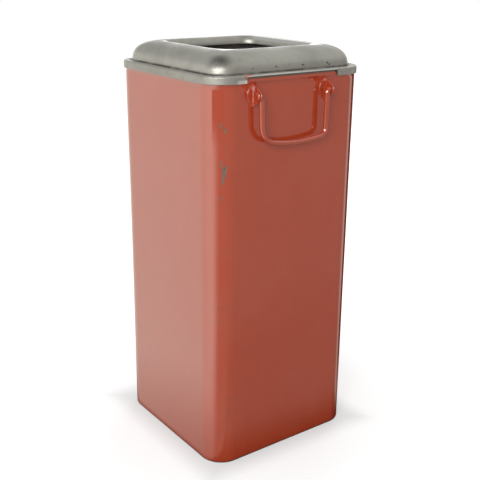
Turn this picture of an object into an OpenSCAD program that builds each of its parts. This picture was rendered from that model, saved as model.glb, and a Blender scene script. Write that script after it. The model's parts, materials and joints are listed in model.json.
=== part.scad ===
// Ashtray bin: square painted steel body, loose pressed aluminium lid with a
// square mouth, two drop handles, and a lift-out galvanised liner.
// The origin is the centre of the base at floor level, +Z is up, and the front
// (the face with the handle) looks along -Y.

/* [Body] */
// Width of the square body across its flat faces
body_w = 280; // [250:1:340]
// Height of the body from the floor to its top edge
body_h = 614.5; // [450:0.1:750]
// Outside radius of the body's upright corners
body_corner_r = 37.5; // [30:0.5:50]
// Thickness of the body's steel sheet
body_t = 1.2; // [0.8:0.1:2]
// Height of the folded hem along the top edge
hem_h = 9; // [6:0.5:14]
// Extra thickness that the folded hem stands proud of the wall
hem_proud = 1; // [0.6:0.1:1.5]
// Width of the edge turned inwards under the body, on which the bin stands
foot_w = 9; // [6:0.5:14]
// Width of the upright lock seam on the rear face
seam_w = 9; // [6:0.5:14]
// Height that the lock seam stands proud of the rear face
seam_proud = 1; // [0.6:0.1:1.6]

/* [Base pan] */
// Thickness of the base pan's sheet
pan_t = 1.2; // [0.8:0.1:2]
// Depth of the base pan's turned-down flange
pan_flange_h = 11; // [8:0.5:20]

/* [Handles] */
// Diameter of the handle rod
rod_d = 8; // [6:0.1:9.6]
// Distance between the middles of the two ears of a handle
ear_span = 134; // [120:0.1:161]
// Sideways offset of the handle from the middle of its face
handle_shift = -8.5; // [-12:0.5:12]
// Distance of the handle's hinge line from the wall
hinge_out = 13; // [11:0.5:14]
// Distance of the handle's hinge line below the body's top edge
hinge_down = 27.5; // [26:0.1:30]
// Drop from the hinge line to the lowest point of the grip
handle_drop = 74.7; // [60:0.1:90]
// Rise of the grip's left end above its lowest point
grip_rise_left = 9.4; // [4:0.1:12]
// Rise of the grip's right end above its lowest point
grip_rise_right = 7.2; // [4:0.1:12]
// Inward lean of the left leg at its foot
leg_lean_left = 2.9; // [0:0.1:8]
// Inward lean of the right leg at its foot
leg_lean_right = 0.7; // [0:0.1:8]
// Bend radius at the left foot of the handle
grip_bend_left = 26; // [14:1:28]
// Bend radius at the right foot of the handle
grip_bend_right = 11; // [9:1:28]
// Bend radius of the shallow sag in the grip
grip_sag_r = 260; // [120:10:300]
// Bend radius where a leg turns into its ear
ear_bend_r = 5; // [4.8:0.1:6]
// Diameter of the flattened head on each end of the rod
head_d = 11; // [10:0.5:13]
// Thickness of the flattened head
head_t = 2; // [1.5:0.1:2.5]

/* [Lugs] */
// Thickness of the lug's sheet
lug_t = 1.5; // [1.2:0.1:2]
// Height of a lug
lug_h = 34; // [30:0.5:36]
// Full width of the leaf-shaped pad on the wall
lug_pad_w = 21; // [18:0.5:26]
// Rim of metal left round the eye of an ear
eye_rim = 4; // [3:0.1:5]
// Radial clearance of the rod in its eye
eye_clear = 0.1; // [0.05:0.01:0.1]

/* [Lid] */
// Thickness of the lid's aluminium sheet
lid_t = 1.2; // [1:0.1:1.6]
// Distance that the outside of the skirt stands out from the wall
skirt_out = 3.1; // [2.8:0.1:5]
// Depth of the skirt below the top of the rim
skirt_h = 11.6; // [8:0.1:16]
// Distance of the dome's foot in from the wall
dome_inset = 9.5; // [6:0.5:14]
// Width of the dome from its foot to its crest
dome_run = 37.4; // [28:0.1:45]
// Height of the crest above the rim
dome_h = 30.5; // [20:0.5:45]
// Corner radius at the dome's foot
dome_foot_r = 31.5; // [26:0.5:36]
// Corner radius at the crest
crest_r = 33.6; // [26:0.1:40]
// Exponent that squares off the dome's rounded profile
dome_power = 0.8; // [0.7:0.05:1]
// Width of the slope from the crest in to the lip of the mouth
lip_run = 8.9; // [6:0.1:14]
// Fall from the crest to the lip of the mouth
lip_fall = 12.1; // [8:0.1:18]
// Corner radius of the mouth at its lip
mouth_r = 21.5; // [15:0.5:30]
// Distance that the gap in the skirt over a handle runs past the middle of each ear
notch_side = 17.2; // [12:0.1:22]
// Sideways offset of the gap in the skirt from the middle of its handle
notch_offset = 5.1; // [-6:0.1:6]
// Height of the rim's edge that is left above the gap
notch_rim = 3; // [2:0.1:5]
// Diameter of the small holes left in the dome's front by a lost plate
plate_hole_d = 3; // [2:0.1:4]
// Height of those holes above the rim
plate_hole_up = 6.8; // [5:0.1:12]

/* [Liner] */
// Thickness of the liner's galvanised sheet
liner_t = 0.8; // [0.6:0.1:1.2]
// Gap between the body's inner face and the liner's wall
liner_gap = 5.5; // [5:0.1:12]
// Distance of the liner's rim below the body's top edge
liner_down = 18; // [14:0.5:40]
// Diameter of the wire rolled into the liner's rim
rim_wire_d = 3; // [2.5:0.1:3.2]
// Depth of the liner base's turned-up flange
liner_flange_h = 10; // [6:0.5:16]

/* [Liner grips] */
// Length of a grip between its outer ends
grip_len = 112; // [90:1:130]
// Length of each riveted foot of a grip
grip_foot = 20; // [16:1:26]
// Gap between a grip's bar and the liner's wall
grip_gap = 26; // [22:1:30]
// Height of a grip's strip
grip_h = 18; // [14:1:22]
// Thickness of a grip's strip
grip_t = 2; // [1.5:0.1:3]
// Distance of a grip's top below the liner's rim
grip_down = 22; // [15:1:40]
// Diameter of the rivets that hold a grip
rivet_d = 5; // [4:0.5:6]
// Diameter of the rivet heads
rivet_head_d = 9; // [8:0.5:10]
// Thickness of the rivet heads
rivet_head_t = 1.6; // [1.2:0.1:2]

/* [Hidden] */

$fn = 48;
// Small distance by which a cut runs past the face that it opens
past = 1;

paint_red = [0.66, 0.30, 0.25];
bare_aluminium = [0.66, 0.66, 0.62];
galvanised = [0.60, 0.62, 0.63];

body_inner_w = body_w - 2 * body_t;
body_inner_r = body_corner_r - body_t;
wall_y = -body_w / 2;
rim_z = body_h + lid_t;
skirt_low_z = rim_z - skirt_h;

// Handle and lugs
hinge_z = body_h - hinge_down;
rod_r = rod_d / 2;
ear_x = ear_span / 2;
ear_side_gap = 0.65;
leg_x = ear_x - lug_t / 2 - ear_side_gap - rod_r;
head_gap = 0.35;
head_in_x = ear_x + lug_t / 2 + head_gap;
head_out_x = head_in_x + head_t;
eye_r = rod_r + eye_clear;
// Facets round the bent rod, and the longest steps along a bend in degrees and in millimetres
rod_sides = 20;
bend_step = 10;
bend_step_len = 6;
// Length of the bent rod hidden in each straight end, and how much thinner it is there
rod_lap = 0.5;
rod_slip = 0.02;
pin_in_x = leg_x + ear_bend_r;

// Lid profile
lid_w = body_w + 2 * skirt_out;
notch_w = ear_span + 2 * notch_side;
notch_x = handle_shift + notch_offset;
dome_steps = 12;
lip_steps = 6;
corner_steps = 10;
// Places of the lost plate's holes along the front: four, and a stray one
plate_hole_x = [-69, -27, 23, 71, 75];
stray_drop = 2.5;

// Liner
liner_w = body_inner_w - 2 * liner_gap;
liner_r = body_inner_r - liner_gap;
liner_floor_z = body_t + pan_flange_h;
liner_top_z = body_h - liner_down;
wire_clear = 0.05;
roll_in_r = rim_wire_d / 2 + wire_clear;
roll_out_r = roll_in_r + liner_t;
roll_x = liner_w / 2 + roll_out_r - liner_t;
roll_z = liner_top_z - roll_out_r;
roll_corner_r = liner_r + roll_out_r - liner_t;
grip_z = liner_top_z - grip_down - grip_h;
grip_wall_x = liner_w / 2 - liner_t;
rivet_y = grip_len / 2 - grip_foot / 2;

// ---------- shared shapes ----------

// Square of width w with round corners of radius r
module rounded_square(w, r) {
    flat = w - 2 * r;
    square([flat, w], center = true);
    square([w, flat], center = true);
    for (sx = [-1, 1], sy = [-1, 1])
        translate([sx * flat / 2, sy * flat / 2])
            circle(r = r);
}

// Upright square tube from height z to z + h with a wall of thickness t
module square_tube(w, r, t, z, h) {
    translate([0, 0, z])
        difference() {
            linear_extrude(h)
                rounded_square(w, r);
            translate([0, 0, -past])
                linear_extrude(h + 2 * past)
                    rounded_square(w - 2 * t, r - t);
        }
}

// Flat plate of width w from height z to z + h
module square_plate(w, r, z, h) {
    translate([0, 0, z])
        linear_extrude(h)
            rounded_square(w, r);
}

// Closed loop of round rod along a rounded square that reaches half_w each way
module rod_loop(half_w, corner_r, rod) {
    side = half_w - corner_r;
    for (turn = [0:3])
        rotate([0, 0, 90 * turn]) {
            translate([half_w, -side, 0])
                rotate([-90, 0, 0])
                    cylinder(h = 2 * side, r = rod);
            translate([side, side, 0])
                rotate_extrude(angle = 90)
                    translate([corner_r, 0])
                        circle(r = rod);
        }
}

// Direction in degrees from point a to point b
function heading(a, b) = atan2(b[1] - a[1], b[0] - a[0]);

// Angle folded into the range -180 to 180
function folded(a) = a > 180 ? a - 360 : a < -180 ? a + 360 : a;

// Turn of the path at its point i, positive to the left
function turn_at(pts, i) = folded(heading(pts[i], pts[i + 1]) - heading(pts[i - 1], pts[i]));

// Distance from point i to where its bend of radius bends[i] starts
function trim_at(pts, bends, i) =
    i == 0 || i == len(pts) - 1 ? 0 : bends[i] * tan(abs(turn_at(pts, i)) / 2);

// Point at distance d from a in the direction of the heading h
function along(a, h, d) = [a[0] + d * cos(h), a[1] + d * sin(h)];

// Places along the bend at point i, each as [x, y, heading]
function bend_places(pts, bends, i) =
    let (
        way = heading(pts[i - 1], pts[i]),
        turn = turn_at(pts, i),
        side = sign(turn),
        start = along(pts[i], way + 180, trim_at(pts, bends, i)),
        centre = along(start, way + side * 90, bends[i]),
        bend_len = bends[i] * abs(turn) * PI / 180,
        steps = ceil(max(abs(turn) / bend_step, bend_len / bend_step_len))
    )
    [for (k = [0:steps])
        let (
            h = way + turn * k / steps,
            p = along(centre, h - side * 90, bends[i])
        )
        [p[0], p[1], h]];

// Round rod of radius rod bent along the points pts, lying in the XY plane
module bent_rod(pts, bends, rod) {
    last = len(pts) - 1;
    places = concat(
        [[pts[0][0], pts[0][1], heading(pts[0], pts[1])]],
        [for (i = [1:last - 1]) each bend_places(pts, bends, i)],
        [[pts[last][0], pts[last][1], heading(pts[last - 1], pts[last])]]
    );
    m = len(places);
    n = rod_sides;
    points = [
        for (place = places, i = [0:n - 1])
            let (
                a = 360 * i / n,
                q = along(place, place[2] + 90, rod * cos(a))
            )
            [q[0], q[1], rod * sin(a)]
    ];
    sides = [
        for (j = [0:m - 2], i = [0:n - 1])
            let (
                a = j * n + i,
                b = j * n + (i + 1) % n,
                c = a + n,
                d = b + n
            )
            each [[a, d, b], [a, c, d]]
    ];
    ends = [[for (i = [0:n - 1]) i], [for (i = [0:n - 1]) m * n - 1 - i]];
    polyhedron(points = points, faces = concat(sides, ends));
}

// ---------- body ----------

module body_shell() {
    color(paint_red)
        union() {
            square_tube(body_w, body_corner_r, body_t, 0, body_h);
            square_tube(body_w + 2 * hem_proud, body_corner_r + hem_proud,
                        hem_proud + body_t / 2, body_h - hem_h, hem_h);
            square_tube(body_w, body_corner_r, foot_w, 0, body_t);
            translate([-seam_w / 2, body_w / 2 - body_t / 2, 0])
                cube([seam_w, body_t / 2 + seam_proud, body_h - hem_h]);
        }
}

// Shallow tray, open side down, that stands on the body's turned-in foot
module base_pan() {
    color(galvanised)
        union() {
            square_plate(body_inner_w, body_inner_r, body_t + pan_flange_h - pan_t, pan_t);
            square_tube(body_inner_w, body_inner_r, pan_t, body_t, pan_flange_h);
        }
}

// ---------- lugs and handles ----------

// Point where the line from p touches the circle of radius r about c, on the given side
function touch_point(p, c, r, side) =
    let (
        away = norm(c - p),
        reach = sqrt(away * away - r * r),
        swing = asin(r / away)
    )
    along(p, heading(p, c) + side * swing, reach);

// Ear of a lug: a rounded triangle round the eye, cut across the XY plane
module ear_outline() {
    eye = [hinge_out, 0];
    rim_r = eye_r + eye_rim;
    top = [0, lug_h / 2];
    low = [0, -lug_h / 2];
    difference() {
        union() {
            polygon([top, low, touch_point(low, eye, rim_r, -1), eye, touch_point(top, eye, rim_r, 1)]);
            translate(eye)
                circle(r = rim_r);
        }
        translate(eye)
            circle(r = eye_r);
    }
}

// Leaf with a point at its top and bottom
module pad_outline() {
    half_w = lug_pad_w / 2;
    half_h = lug_h / 2;
    leaf_r = (half_w * half_w + half_h * half_h) / (2 * half_w);
    intersection() {
        translate([leaf_r - half_w, 0])
            circle(r = leaf_r);
        translate([half_w - leaf_r, 0])
            circle(r = leaf_r);
    }
}

// Lug on the front wall, with its ear's middle at the sideways place x
module lug(x) {
    color(paint_red)
        translate([x, wall_y, hinge_z])
            union() {
                rotate([90, 0, 0])
                    linear_extrude(lug_t)
                        pad_outline();
                translate([lug_t / 2, 0, 0])
                    rotate([0, 0, -90])
                        rotate([90, 0, 0])
                            linear_extrude(lug_t)
                                ear_outline();
            }
}

module lug_front_left() { lug(handle_shift - ear_x); }
module lug_front_right() { lug(handle_shift + ear_x); }
module lug_rear_left() { rotate([0, 0, 180]) lug(handle_shift + ear_x); }
module lug_rear_right() { rotate([0, 0, 180]) lug(handle_shift - ear_x); }

// Drop handle hanging from the front ears, with its lowest point in the middle
module drop_handle() {
    path = [
        [-pin_in_x - rod_lap, 0],
        [-leg_x, 0],
        [-leg_x + leg_lean_left, grip_rise_left - handle_drop],
        [0, -handle_drop],
        [leg_x - leg_lean_right, grip_rise_right - handle_drop],
        [leg_x, 0],
        [pin_in_x + rod_lap, 0]
    ];
    bends = [0, ear_bend_r, grip_bend_left, grip_sag_r, grip_bend_right, ear_bend_r, 0];
    color(paint_red)
        translate([handle_shift, wall_y - hinge_out, hinge_z])
            union() {
                rotate([90, 0, 0])
                    bent_rod(path, bends, rod_r - rod_slip);
                for (turn = [0, 180])
                    rotate([0, turn, 0])
                        translate([pin_in_x, 0, 0])
                            rotate([0, 90, 0])
                                union() {
                                    cylinder(h = head_out_x - pin_in_x, r = rod_r);
                                    translate([0, 0, head_in_x - pin_in_x])
                                        cylinder(h = head_t, d = head_d);
                                }
            }
}

module handle_front() { drop_handle(); }
module handle_rear() { rotate([0, 0, 180]) drop_handle(); }

// ---------- lid ----------

// Points of the sheet's outer face as [distance in from the wall, corner radius, height]
function dome_point(s) =
    let (
        a = 90 * s / dome_steps,
        part = 1 - pow(cos(a), dome_power)
    )
    [dome_inset + dome_run * part, dome_foot_r + (crest_r - dome_foot_r) * part,
     rim_z + dome_h * pow(sin(a), dome_power)];

function lip_point(s) =
    let (a = 90 * s / lip_steps)
    [dome_inset + dome_run + lip_run * sin(a), crest_r + (mouth_r - crest_r) * sin(a),
     rim_z + dome_h - lip_fall * (1 - cos(a))];

outer_face = concat(
    [[-skirt_out, body_corner_r + skirt_out, skirt_low_z],
     [-skirt_out, body_corner_r + skirt_out, rim_z]],
    [for (s = [0:dome_steps]) dome_point(s)],
    [for (s = [1:lip_steps]) lip_point(s)]
);

// Point moved square off the face by the sheet's thickness, towards its underside
function under_point(i) =
    let (
        p = outer_face[i],
        before = outer_face[max(i - 1, 0)],
        after = outer_face[min(i + 1, len(outer_face) - 1)],
        run = after[0] - before[0],
        rise = after[2] - before[2],
        size = sqrt(run * run + rise * rise)
    )
    [p[0] + lid_t * rise / size, p[1] - lid_t * rise / size, p[2] - lid_t * run / size];

// The two corners of the skirt are square, so their inner points are set directly
inner_face = concat(
    [[lid_t - skirt_out, body_corner_r + skirt_out - lid_t, skirt_low_z],
     [lid_t - skirt_out, body_corner_r + skirt_out - lid_t, rim_z - lid_t],
     [dome_inset + lid_t, dome_foot_r - lid_t, rim_z - lid_t]],
    [for (i = [3:len(outer_face) - 1]) under_point(i)]
);

// Ring of points round a rounded square that lies in from the wall by place[0]
function ring(place) =
    let (
        side = body_w / 2 - place[0] - place[1],
        corners = [[1, 1], [-1, 1], [-1, -1], [1, -1]]
    )
    [for (q = [0:3], k = [0:corner_steps])
        let (a = 90 * q + 90 * k / corner_steps)
        [corners[q][0] * side + place[1] * cos(a), corners[q][1] * side + place[1] * sin(a), place[2]]];

// Closed skin through a list of rings, the last of which joins the first
module ring_skin(places) {
    n = 4 * (corner_steps + 1);
    m = len(places);
    points = [for (place = places) each ring(place)];
    faces = [
        for (j = [0:m - 1], i = [0:n - 1])
            let (
                a = j * n + i,
                b = j * n + (i + 1) % n,
                c = ((j + 1) % m) * n + (i + 1) % n,
                d = ((j + 1) % m) * n + i
            )
            each [[a, c, b], [a, d, c]]
    ];
    polyhedron(points = points, faces = faces);
}

module lid_shell() {
    last = len(inner_face) - 1;
    places = concat(outer_face, [for (i = [0:last]) inner_face[last - i]]);
    color(bare_aluminium)
        difference() {
            ring_skin(places);
            for (turn = [0, 180])
                rotate([0, 0, turn])
                    translate([notch_x - notch_w / 2, wall_y - skirt_out - past, skirt_low_z - past])
                        cube([notch_w, skirt_out + past, skirt_h - notch_rim + past]);
            for (i = [0:len(plate_hole_x) - 1])
                translate([plate_hole_x[i], wall_y, rim_z + plate_hole_up - (i == 4 ? stray_drop : 0)])
                    rotate([-90, 0, 0])
                        cylinder(h = 2 * dome_inset + dome_run / 2, d = plate_hole_d);
        }
}

// ---------- liner ----------

module liner_shell() {
    color(galvanised)
        difference() {
            union() {
                square_tube(liner_w, liner_r, liner_t, liner_floor_z, roll_z - liner_floor_z);
                translate([0, 0, roll_z])
                    rod_loop(roll_x, roll_corner_r, roll_out_r);
            }
            translate([0, 0, roll_z])
                rod_loop(roll_x, roll_corner_r, roll_in_r);
            for (sx = [-1, 1], sy = [-1, 1])
                translate([sx * (grip_wall_x - past), sy * rivet_y, grip_z + grip_h / 2])
                    rotate([0, sx * 90, 0])
                        cylinder(h = liner_t + 2 * past, d = rivet_d);
        }
}

module liner_base() {
    inner_w = liner_w - 2 * liner_t;
    inner_r = liner_r - liner_t;
    color(galvanised)
        union() {
            square_plate(inner_w, inner_r, liner_floor_z, liner_t);
            square_tube(inner_w, inner_r, liner_t, liner_floor_z, liner_flange_h);
        }
}

module liner_rim_wire() {
    color(galvanised)
        translate([0, 0, roll_z])
            rod_loop(roll_x, roll_corner_r, rim_wire_d / 2);
}

// Strip bent into a bridge, with its feet against the wall at the right
module liner_grip() {
    foot_end = grip_len / 2 - grip_foot;
    bar_half = foot_end - grip_gap / 2;
    half = [[0, grip_len / 2], [0, foot_end], [-grip_gap, bar_half]];
    back = [[-grip_gap - grip_t, bar_half], [-grip_t, foot_end + grip_t / 2], [-grip_t, grip_len / 2]];
    outline = concat(
        half,
        [for (i = [2:-1:0]) [half[i][0], -half[i][1]]],
        [for (i = [2:-1:0]) [back[i][0], -back[i][1]]],
        back
    );
    color(galvanised)
        translate([grip_wall_x, 0, grip_z])
            difference() {
                linear_extrude(grip_h)
                    polygon(outline);
                for (sy = [-1, 1])
                    translate([-grip_t - past, sy * rivet_y, grip_h / 2])
                        rotate([0, 90, 0])
                            cylinder(h = grip_t + 2 * past, d = rivet_d);
            }
}

module liner_grip_right() { liner_grip(); }
module liner_grip_left() { rotate([0, 0, 180]) liner_grip(); }

// Rivet with a flat head on each side of the wall and the grip's foot
module grip_rivet() {
    grip_and_wall = grip_t + liner_t;
    translate([-grip_t, 0, 0])
        rotate([0, 90, 0])
            union() {
                cylinder(h = grip_and_wall, d = rivet_d);
                translate([0, 0, -rivet_head_t])
                    cylinder(h = rivet_head_t, d = rivet_head_d);
                translate([0, 0, grip_and_wall])
                    cylinder(h = rivet_head_t, d = rivet_head_d);
            }
}

module liner_grip_rivets() {
    color(galvanised)
        for (turn = [0, 180], sy = [-1, 1])
            rotate([0, 0, turn])
                translate([grip_wall_x, sy * rivet_y, grip_z + grip_h / 2])
                    grip_rivet();
}

body_shell();
base_pan();
lug_front_left();
lug_front_right();
lug_rear_left();
lug_rear_right();
handle_front();
handle_rear();
lid_shell();
liner_shell();
liner_base();
liner_rim_wire();
liner_grip_left();
liner_grip_right();
liner_grip_rivets();
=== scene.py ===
"""Ashtray bin: the looks of its painted body, pressed lid, drop handles and liner.

The packed model is loaded as a fixed frame, each operator builds one piece or one
group of like pieces around it, and main() runs them in order.
"""

import json
import math

import bpy
import numpy as np
from mathutils import Matrix, Vector


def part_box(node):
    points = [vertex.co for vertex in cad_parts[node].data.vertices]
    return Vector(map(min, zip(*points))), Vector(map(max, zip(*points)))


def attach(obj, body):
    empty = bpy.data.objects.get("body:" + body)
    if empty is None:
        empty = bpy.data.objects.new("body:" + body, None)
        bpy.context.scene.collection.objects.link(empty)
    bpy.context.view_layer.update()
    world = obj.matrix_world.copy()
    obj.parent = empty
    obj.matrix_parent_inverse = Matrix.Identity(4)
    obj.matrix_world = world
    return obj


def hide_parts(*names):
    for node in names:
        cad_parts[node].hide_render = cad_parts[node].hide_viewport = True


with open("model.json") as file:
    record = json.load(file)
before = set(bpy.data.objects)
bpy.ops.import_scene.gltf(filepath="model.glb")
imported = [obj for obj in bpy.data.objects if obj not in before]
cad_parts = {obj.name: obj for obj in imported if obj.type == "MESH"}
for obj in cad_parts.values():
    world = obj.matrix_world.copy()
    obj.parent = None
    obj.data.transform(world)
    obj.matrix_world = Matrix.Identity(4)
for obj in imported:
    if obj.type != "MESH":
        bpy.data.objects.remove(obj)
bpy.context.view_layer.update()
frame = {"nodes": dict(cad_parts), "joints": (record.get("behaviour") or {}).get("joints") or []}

bl_info = {
    "name": "Ashtray bin",
    "version": (1, 0, 0),
    "blender": (4, 5, 0),
    "location": "View3D > Sidebar > Ashtray bin",
    "description": "Builds the visible pieces of a square ashtray bin around its packed frame",
    "category": "Object",
}

BODY_LOW, BODY_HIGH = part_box("body_shell")
LID_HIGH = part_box("lid_shell")[1]
LINER_LOW, LINER_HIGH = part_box("liner_shell")
PAN_LOW, PAN_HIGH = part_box("base_pan")
GRIP_LOW, GRIP_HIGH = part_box("liner_grip_right")
HINGE = next(j for j in frame["joints"] if j["name"] == "handle_front_swing")["pos_m"]

# The signs of a square's corners, anticlockwise from the one at +x, +y.
CORNERS = np.array([[1, 1], [-1, 1], [-1, -1], [1, -1]], float)

# How far from its middle a square plate's first row of points lies.
PLATE_START = 0.012

# Near-white colour of the painted highlights on the lid's edges and lip.
ALUMINIUM_HIGHLIGHT = (0.86, 0.85, 0.82)
ZINC_BLOOM = (0.52, 0.53, 0.52)
PAPER_GRAIN = (0.405, 0.405, 0.40)
WARM_WHITE = (1.0, 0.955, 0.86, 1)
SOFT_GREY = (0.30, 0.30, 0.30, 1)
WHITE = (1, 1, 1, 1)

# Plan directions from the bin to the lit paper at its left and to the backdrop behind it.
TOWARDS_PAPER = (-0.90, 0.45)
TOWARDS_BACKDROP = (0.50, 0.80)


# ---------------------------------------------------------------- sizes and colours


def metres(name, description, default, low=0.0, high=1.0):
    """A length property in metres."""
    return bpy.props.FloatProperty(
        name=name, description=description, default=default, min=low, max=high,
        precision=5, subtype="DISTANCE", unit="LENGTH",
    )


def degrees(name, description, default):
    """An angle property that is given in degrees and kept in radians."""
    return bpy.props.FloatProperty(
        name=name, description=description, default=math.radians(default),
        subtype="ANGLE", unit="ROTATION",
    )


def colour(name, description, default):
    """A linear colour property."""
    return bpy.props.FloatVectorProperty(
        name=name, description=description, default=default,
        size=3, min=0.0, max=1.0, subtype="COLOR",
    )


def plain(name, description, default, low=0.0, high=10.0):
    """A plain number property."""
    return bpy.props.FloatProperty(name=name, description=description, default=default, min=low, max=high)


class BodySizes(bpy.types.PropertyGroup):
    """Sizes of the painted body and its base pan."""

    hem_proud: metres("Hem", "How far the folded top hem stands out from the wall", 0.001)
    hem_height: metres("Hem height", "Height of the folded top hem", 0.009)
    corner_radius: metres("Corner", "Outside radius of the upright corners", 0.0375)
    sheet: metres("Sheet", "Thickness of the body's steel sheet", 0.0012)
    foot_width: metres("Foot", "Width of the edge turned in under the body", 0.009)
    seam_width: metres("Seam", "Width of the upright lock seam on the rear", 0.009)
    seam_proud: metres("Seam height", "How far the lock seam stands out", 0.001)
    dent_depth: metres("Dents", "Depth of the broad shallow dents in the walls", 0.0006)


class LidSizes(bpy.types.PropertyGroup):
    """Sizes of the pressed lid."""

    sheet: metres("Sheet", "Thickness of the aluminium sheet", 0.0012)
    skirt_out: metres("Skirt", "How far the skirt stands out from the body's wall", 0.0031)
    skirt_height: metres("Skirt height", "Depth of the skirt below the top of the rim", 0.0116)
    rim_round: metres("Rim rounding", "Radius of the bend between rim and skirt", 0.0022)
    groove: metres("Groove", "Depth of the groove pressed round the dome's foot", 0.0009)
    dome_inset: metres("Dome inset", "Distance of the dome's foot in from the wall", 0.0095)
    dome_run: metres("Dome width", "Width of the dome from its foot to its crest", 0.0374)
    dome_height: metres("Dome height", "Height of the crest above the rim", 0.0305)
    dome_power: plain("Dome shape", "Exponent that squares off the dome's rounded profile", 0.8)
    foot_radius: metres("Foot radius", "Corner radius at the dome's foot", 0.0315)
    crest_radius: metres("Crest radius", "Corner radius at the crest", 0.0336)
    lip_run: metres("Lip width", "Width of the slope from the crest in to the lip", 0.0089)
    lip_fall: metres("Lip fall", "Fall from the crest to the lip of the mouth", 0.0121)
    mouth_radius: metres("Mouth radius", "Corner radius of the mouth at its lip", 0.0215)
    notch_from: metres("Notch from", "Left end of the gap in the front skirt", -0.0876, -0.14, 0.0)
    notch_to: metres("Notch to", "Right end of the gap in the front skirt", 0.0808)
    notch_rim: metres("Notch rim", "Height of the rim's edge left above the gap", 0.003)
    hole_diameter: metres("Holes", "Diameter of the empty screw holes", 0.003)
    hole_height: metres("Hole height", "Height of the screw holes above the rim", 0.0068)


class HandleSizes(bpy.types.PropertyGroup):
    """Sizes of a drop handle and its lugs."""

    rod: metres("Rod", "Diameter of the handle's rod", 0.008)
    ear_half_span: metres("Ears", "Half the distance between the middles of the two ears", 0.067)
    leg_half_span: metres("Legs", "Half the distance between the legs at the hinge line", 0.0616)
    drop: metres("Drop", "Drop from the hinge line to the grip's lowest point", 0.0747)
    rise_left: metres("Left rise", "Rise of the grip's left end", 0.0094)
    rise_right: metres("Right rise", "Rise of the grip's right end", 0.0072)
    lean_left: metres("Left lean", "Inward lean of the left leg", 0.0029)
    lean_right: metres("Right lean", "Inward lean of the right leg", 0.0007)
    bend_left: metres("Left bend", "Bend radius at the left foot", 0.026)
    bend_right: metres("Right bend", "Bend radius at the right foot", 0.011)
    bend_sag: metres("Sag", "Bend radius of the shallow sag in the grip", 0.26)
    bend_ear: metres("Ear bend", "Bend radius where a leg turns into its ear", 0.005)
    head: metres("Head", "Diameter of the flattened head on each end", 0.011)
    head_thickness: metres("Head thickness", "Thickness of the flattened head", 0.002)
    head_gap: metres("Head gap", "Gap between an ear and its head", 0.00035)
    lug_sheet: metres("Lug sheet", "Thickness of the lug's sheet", 0.0015)
    lug_height: metres("Lug height", "Height of a lug", 0.034)
    pad_width: metres("Pad", "Full width of the leaf-shaped pad", 0.021)
    eye_rim: metres("Eye rim", "Metal left round the eye of an ear", 0.004)
    eye_clearance: metres("Eye clearance", "Radial clearance of the rod in its eye", 0.0003)


class LinerSizes(bpy.types.PropertyGroup):
    """Sizes of the lift-out liner."""

    sheet: metres("Sheet", "Thickness of the galvanised sheet", 0.0008)
    corner_radius: metres("Corner", "Outside corner radius of the liner", 0.0308)
    flange: metres("Flange", "Height of the liner base's turned-up flange", 0.010)
    roll_radius: metres("Roll", "Outer radius of the rolled rim", 0.00235)
    grip_foot: metres("Grip foot", "Length of each riveted foot of a grip", 0.020)
    grip_gap: metres("Grip gap", "Gap between a grip's bar and the wall", 0.026)
    grip_sheet: metres("Grip sheet", "Thickness of a grip's strip", 0.002)
    rivet_head: metres("Rivet head", "Diameter of the rivet heads", 0.009)
    rivet_height: metres("Rivet height", "Height of the rivet heads", 0.0016)


class FinishColours(bpy.types.PropertyGroup):
    """Colours of the finishes, in linear light."""

    enamel: colour("Enamel", "Sound red enamel", (0.385, 0.045, 0.014))
    enamel_faded: colour("Faded enamel", "Chalky, faded enamel", (0.430, 0.092, 0.050))
    enamel_deep: colour("Deep enamel", "Enamel in corners and hollows", (0.280, 0.027, 0.009))
    primer: colour("Primer", "Grey-brown undercoat in the chips", (0.165, 0.115, 0.085))
    rust: colour("Rust", "Rust at the heart of the larger chips", (0.090, 0.035, 0.018))
    aluminium: colour("Aluminium", "Worn bare aluminium", (0.385, 0.376, 0.332))
    aluminium_dull: colour("Dull aluminium", "Oxidised aluminium", (0.290, 0.283, 0.245))
    # Used for real dirt, and also for painted shade and a painted dark reflection on the body and lid.
    grime_and_shade: colour("Grime", "Dark dirt in grooves", (0.055, 0.050, 0.042))
    zinc: colour("Zinc", "Galvanised steel", (0.430, 0.440, 0.445))
    zinc_dark: colour("Dark zinc", "Darker crystals of the zinc", (0.330, 0.340, 0.350))
    floor: colour("Floor", "Studio floor", (0.420, 0.420, 0.420))


class StageSettings(bpy.types.PropertyGroup):
    """Camera and studio."""

    azimuth: degrees("Azimuth", "Camera's direction round the bin", -36.213)
    elevation: degrees("Elevation", "Camera's height angle", 18.750)
    roll: degrees("Roll", "Camera's roll", 0.5433)
    distance: metres("Distance", "Camera's distance from its target", 1.37932, 0.1, 10.0)
    target_side: metres("Target side", "Sideways offset of the target", 0.005517)
    target_height: metres("Target height", "Height of the target", 0.318478)
    lens: bpy.props.FloatProperty(name="Lens", description="Focal length on a 36 mm sensor", default=60.9975,
                                  min=10.0, max=300.0, subtype="DISTANCE_CAMERA", unit="CAMERA")
    ambient: plain("Ambient", "Strength of the soft light all round", 0.55)
    floor_size: metres("Floor size", "Half the width of the floor", 6.0, 1.0, 20.0)


GROUPS = {
    "body": BodySizes,
    "lid": LidSizes,
    "handle": HandleSizes,
    "liner": LinerSizes,
    "finish": FinishColours,
    "stage": StageSettings,
}


def settings():
    """The scene's settings for this bin."""
    return bpy.context.scene.ashtray_bin


def wall_half():
    """Half the body's width at its wall, inside the hem."""
    return BODY_HIGH.x - settings().body.hem_proud


# ---------------------------------------------------------------- mesh building


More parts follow.
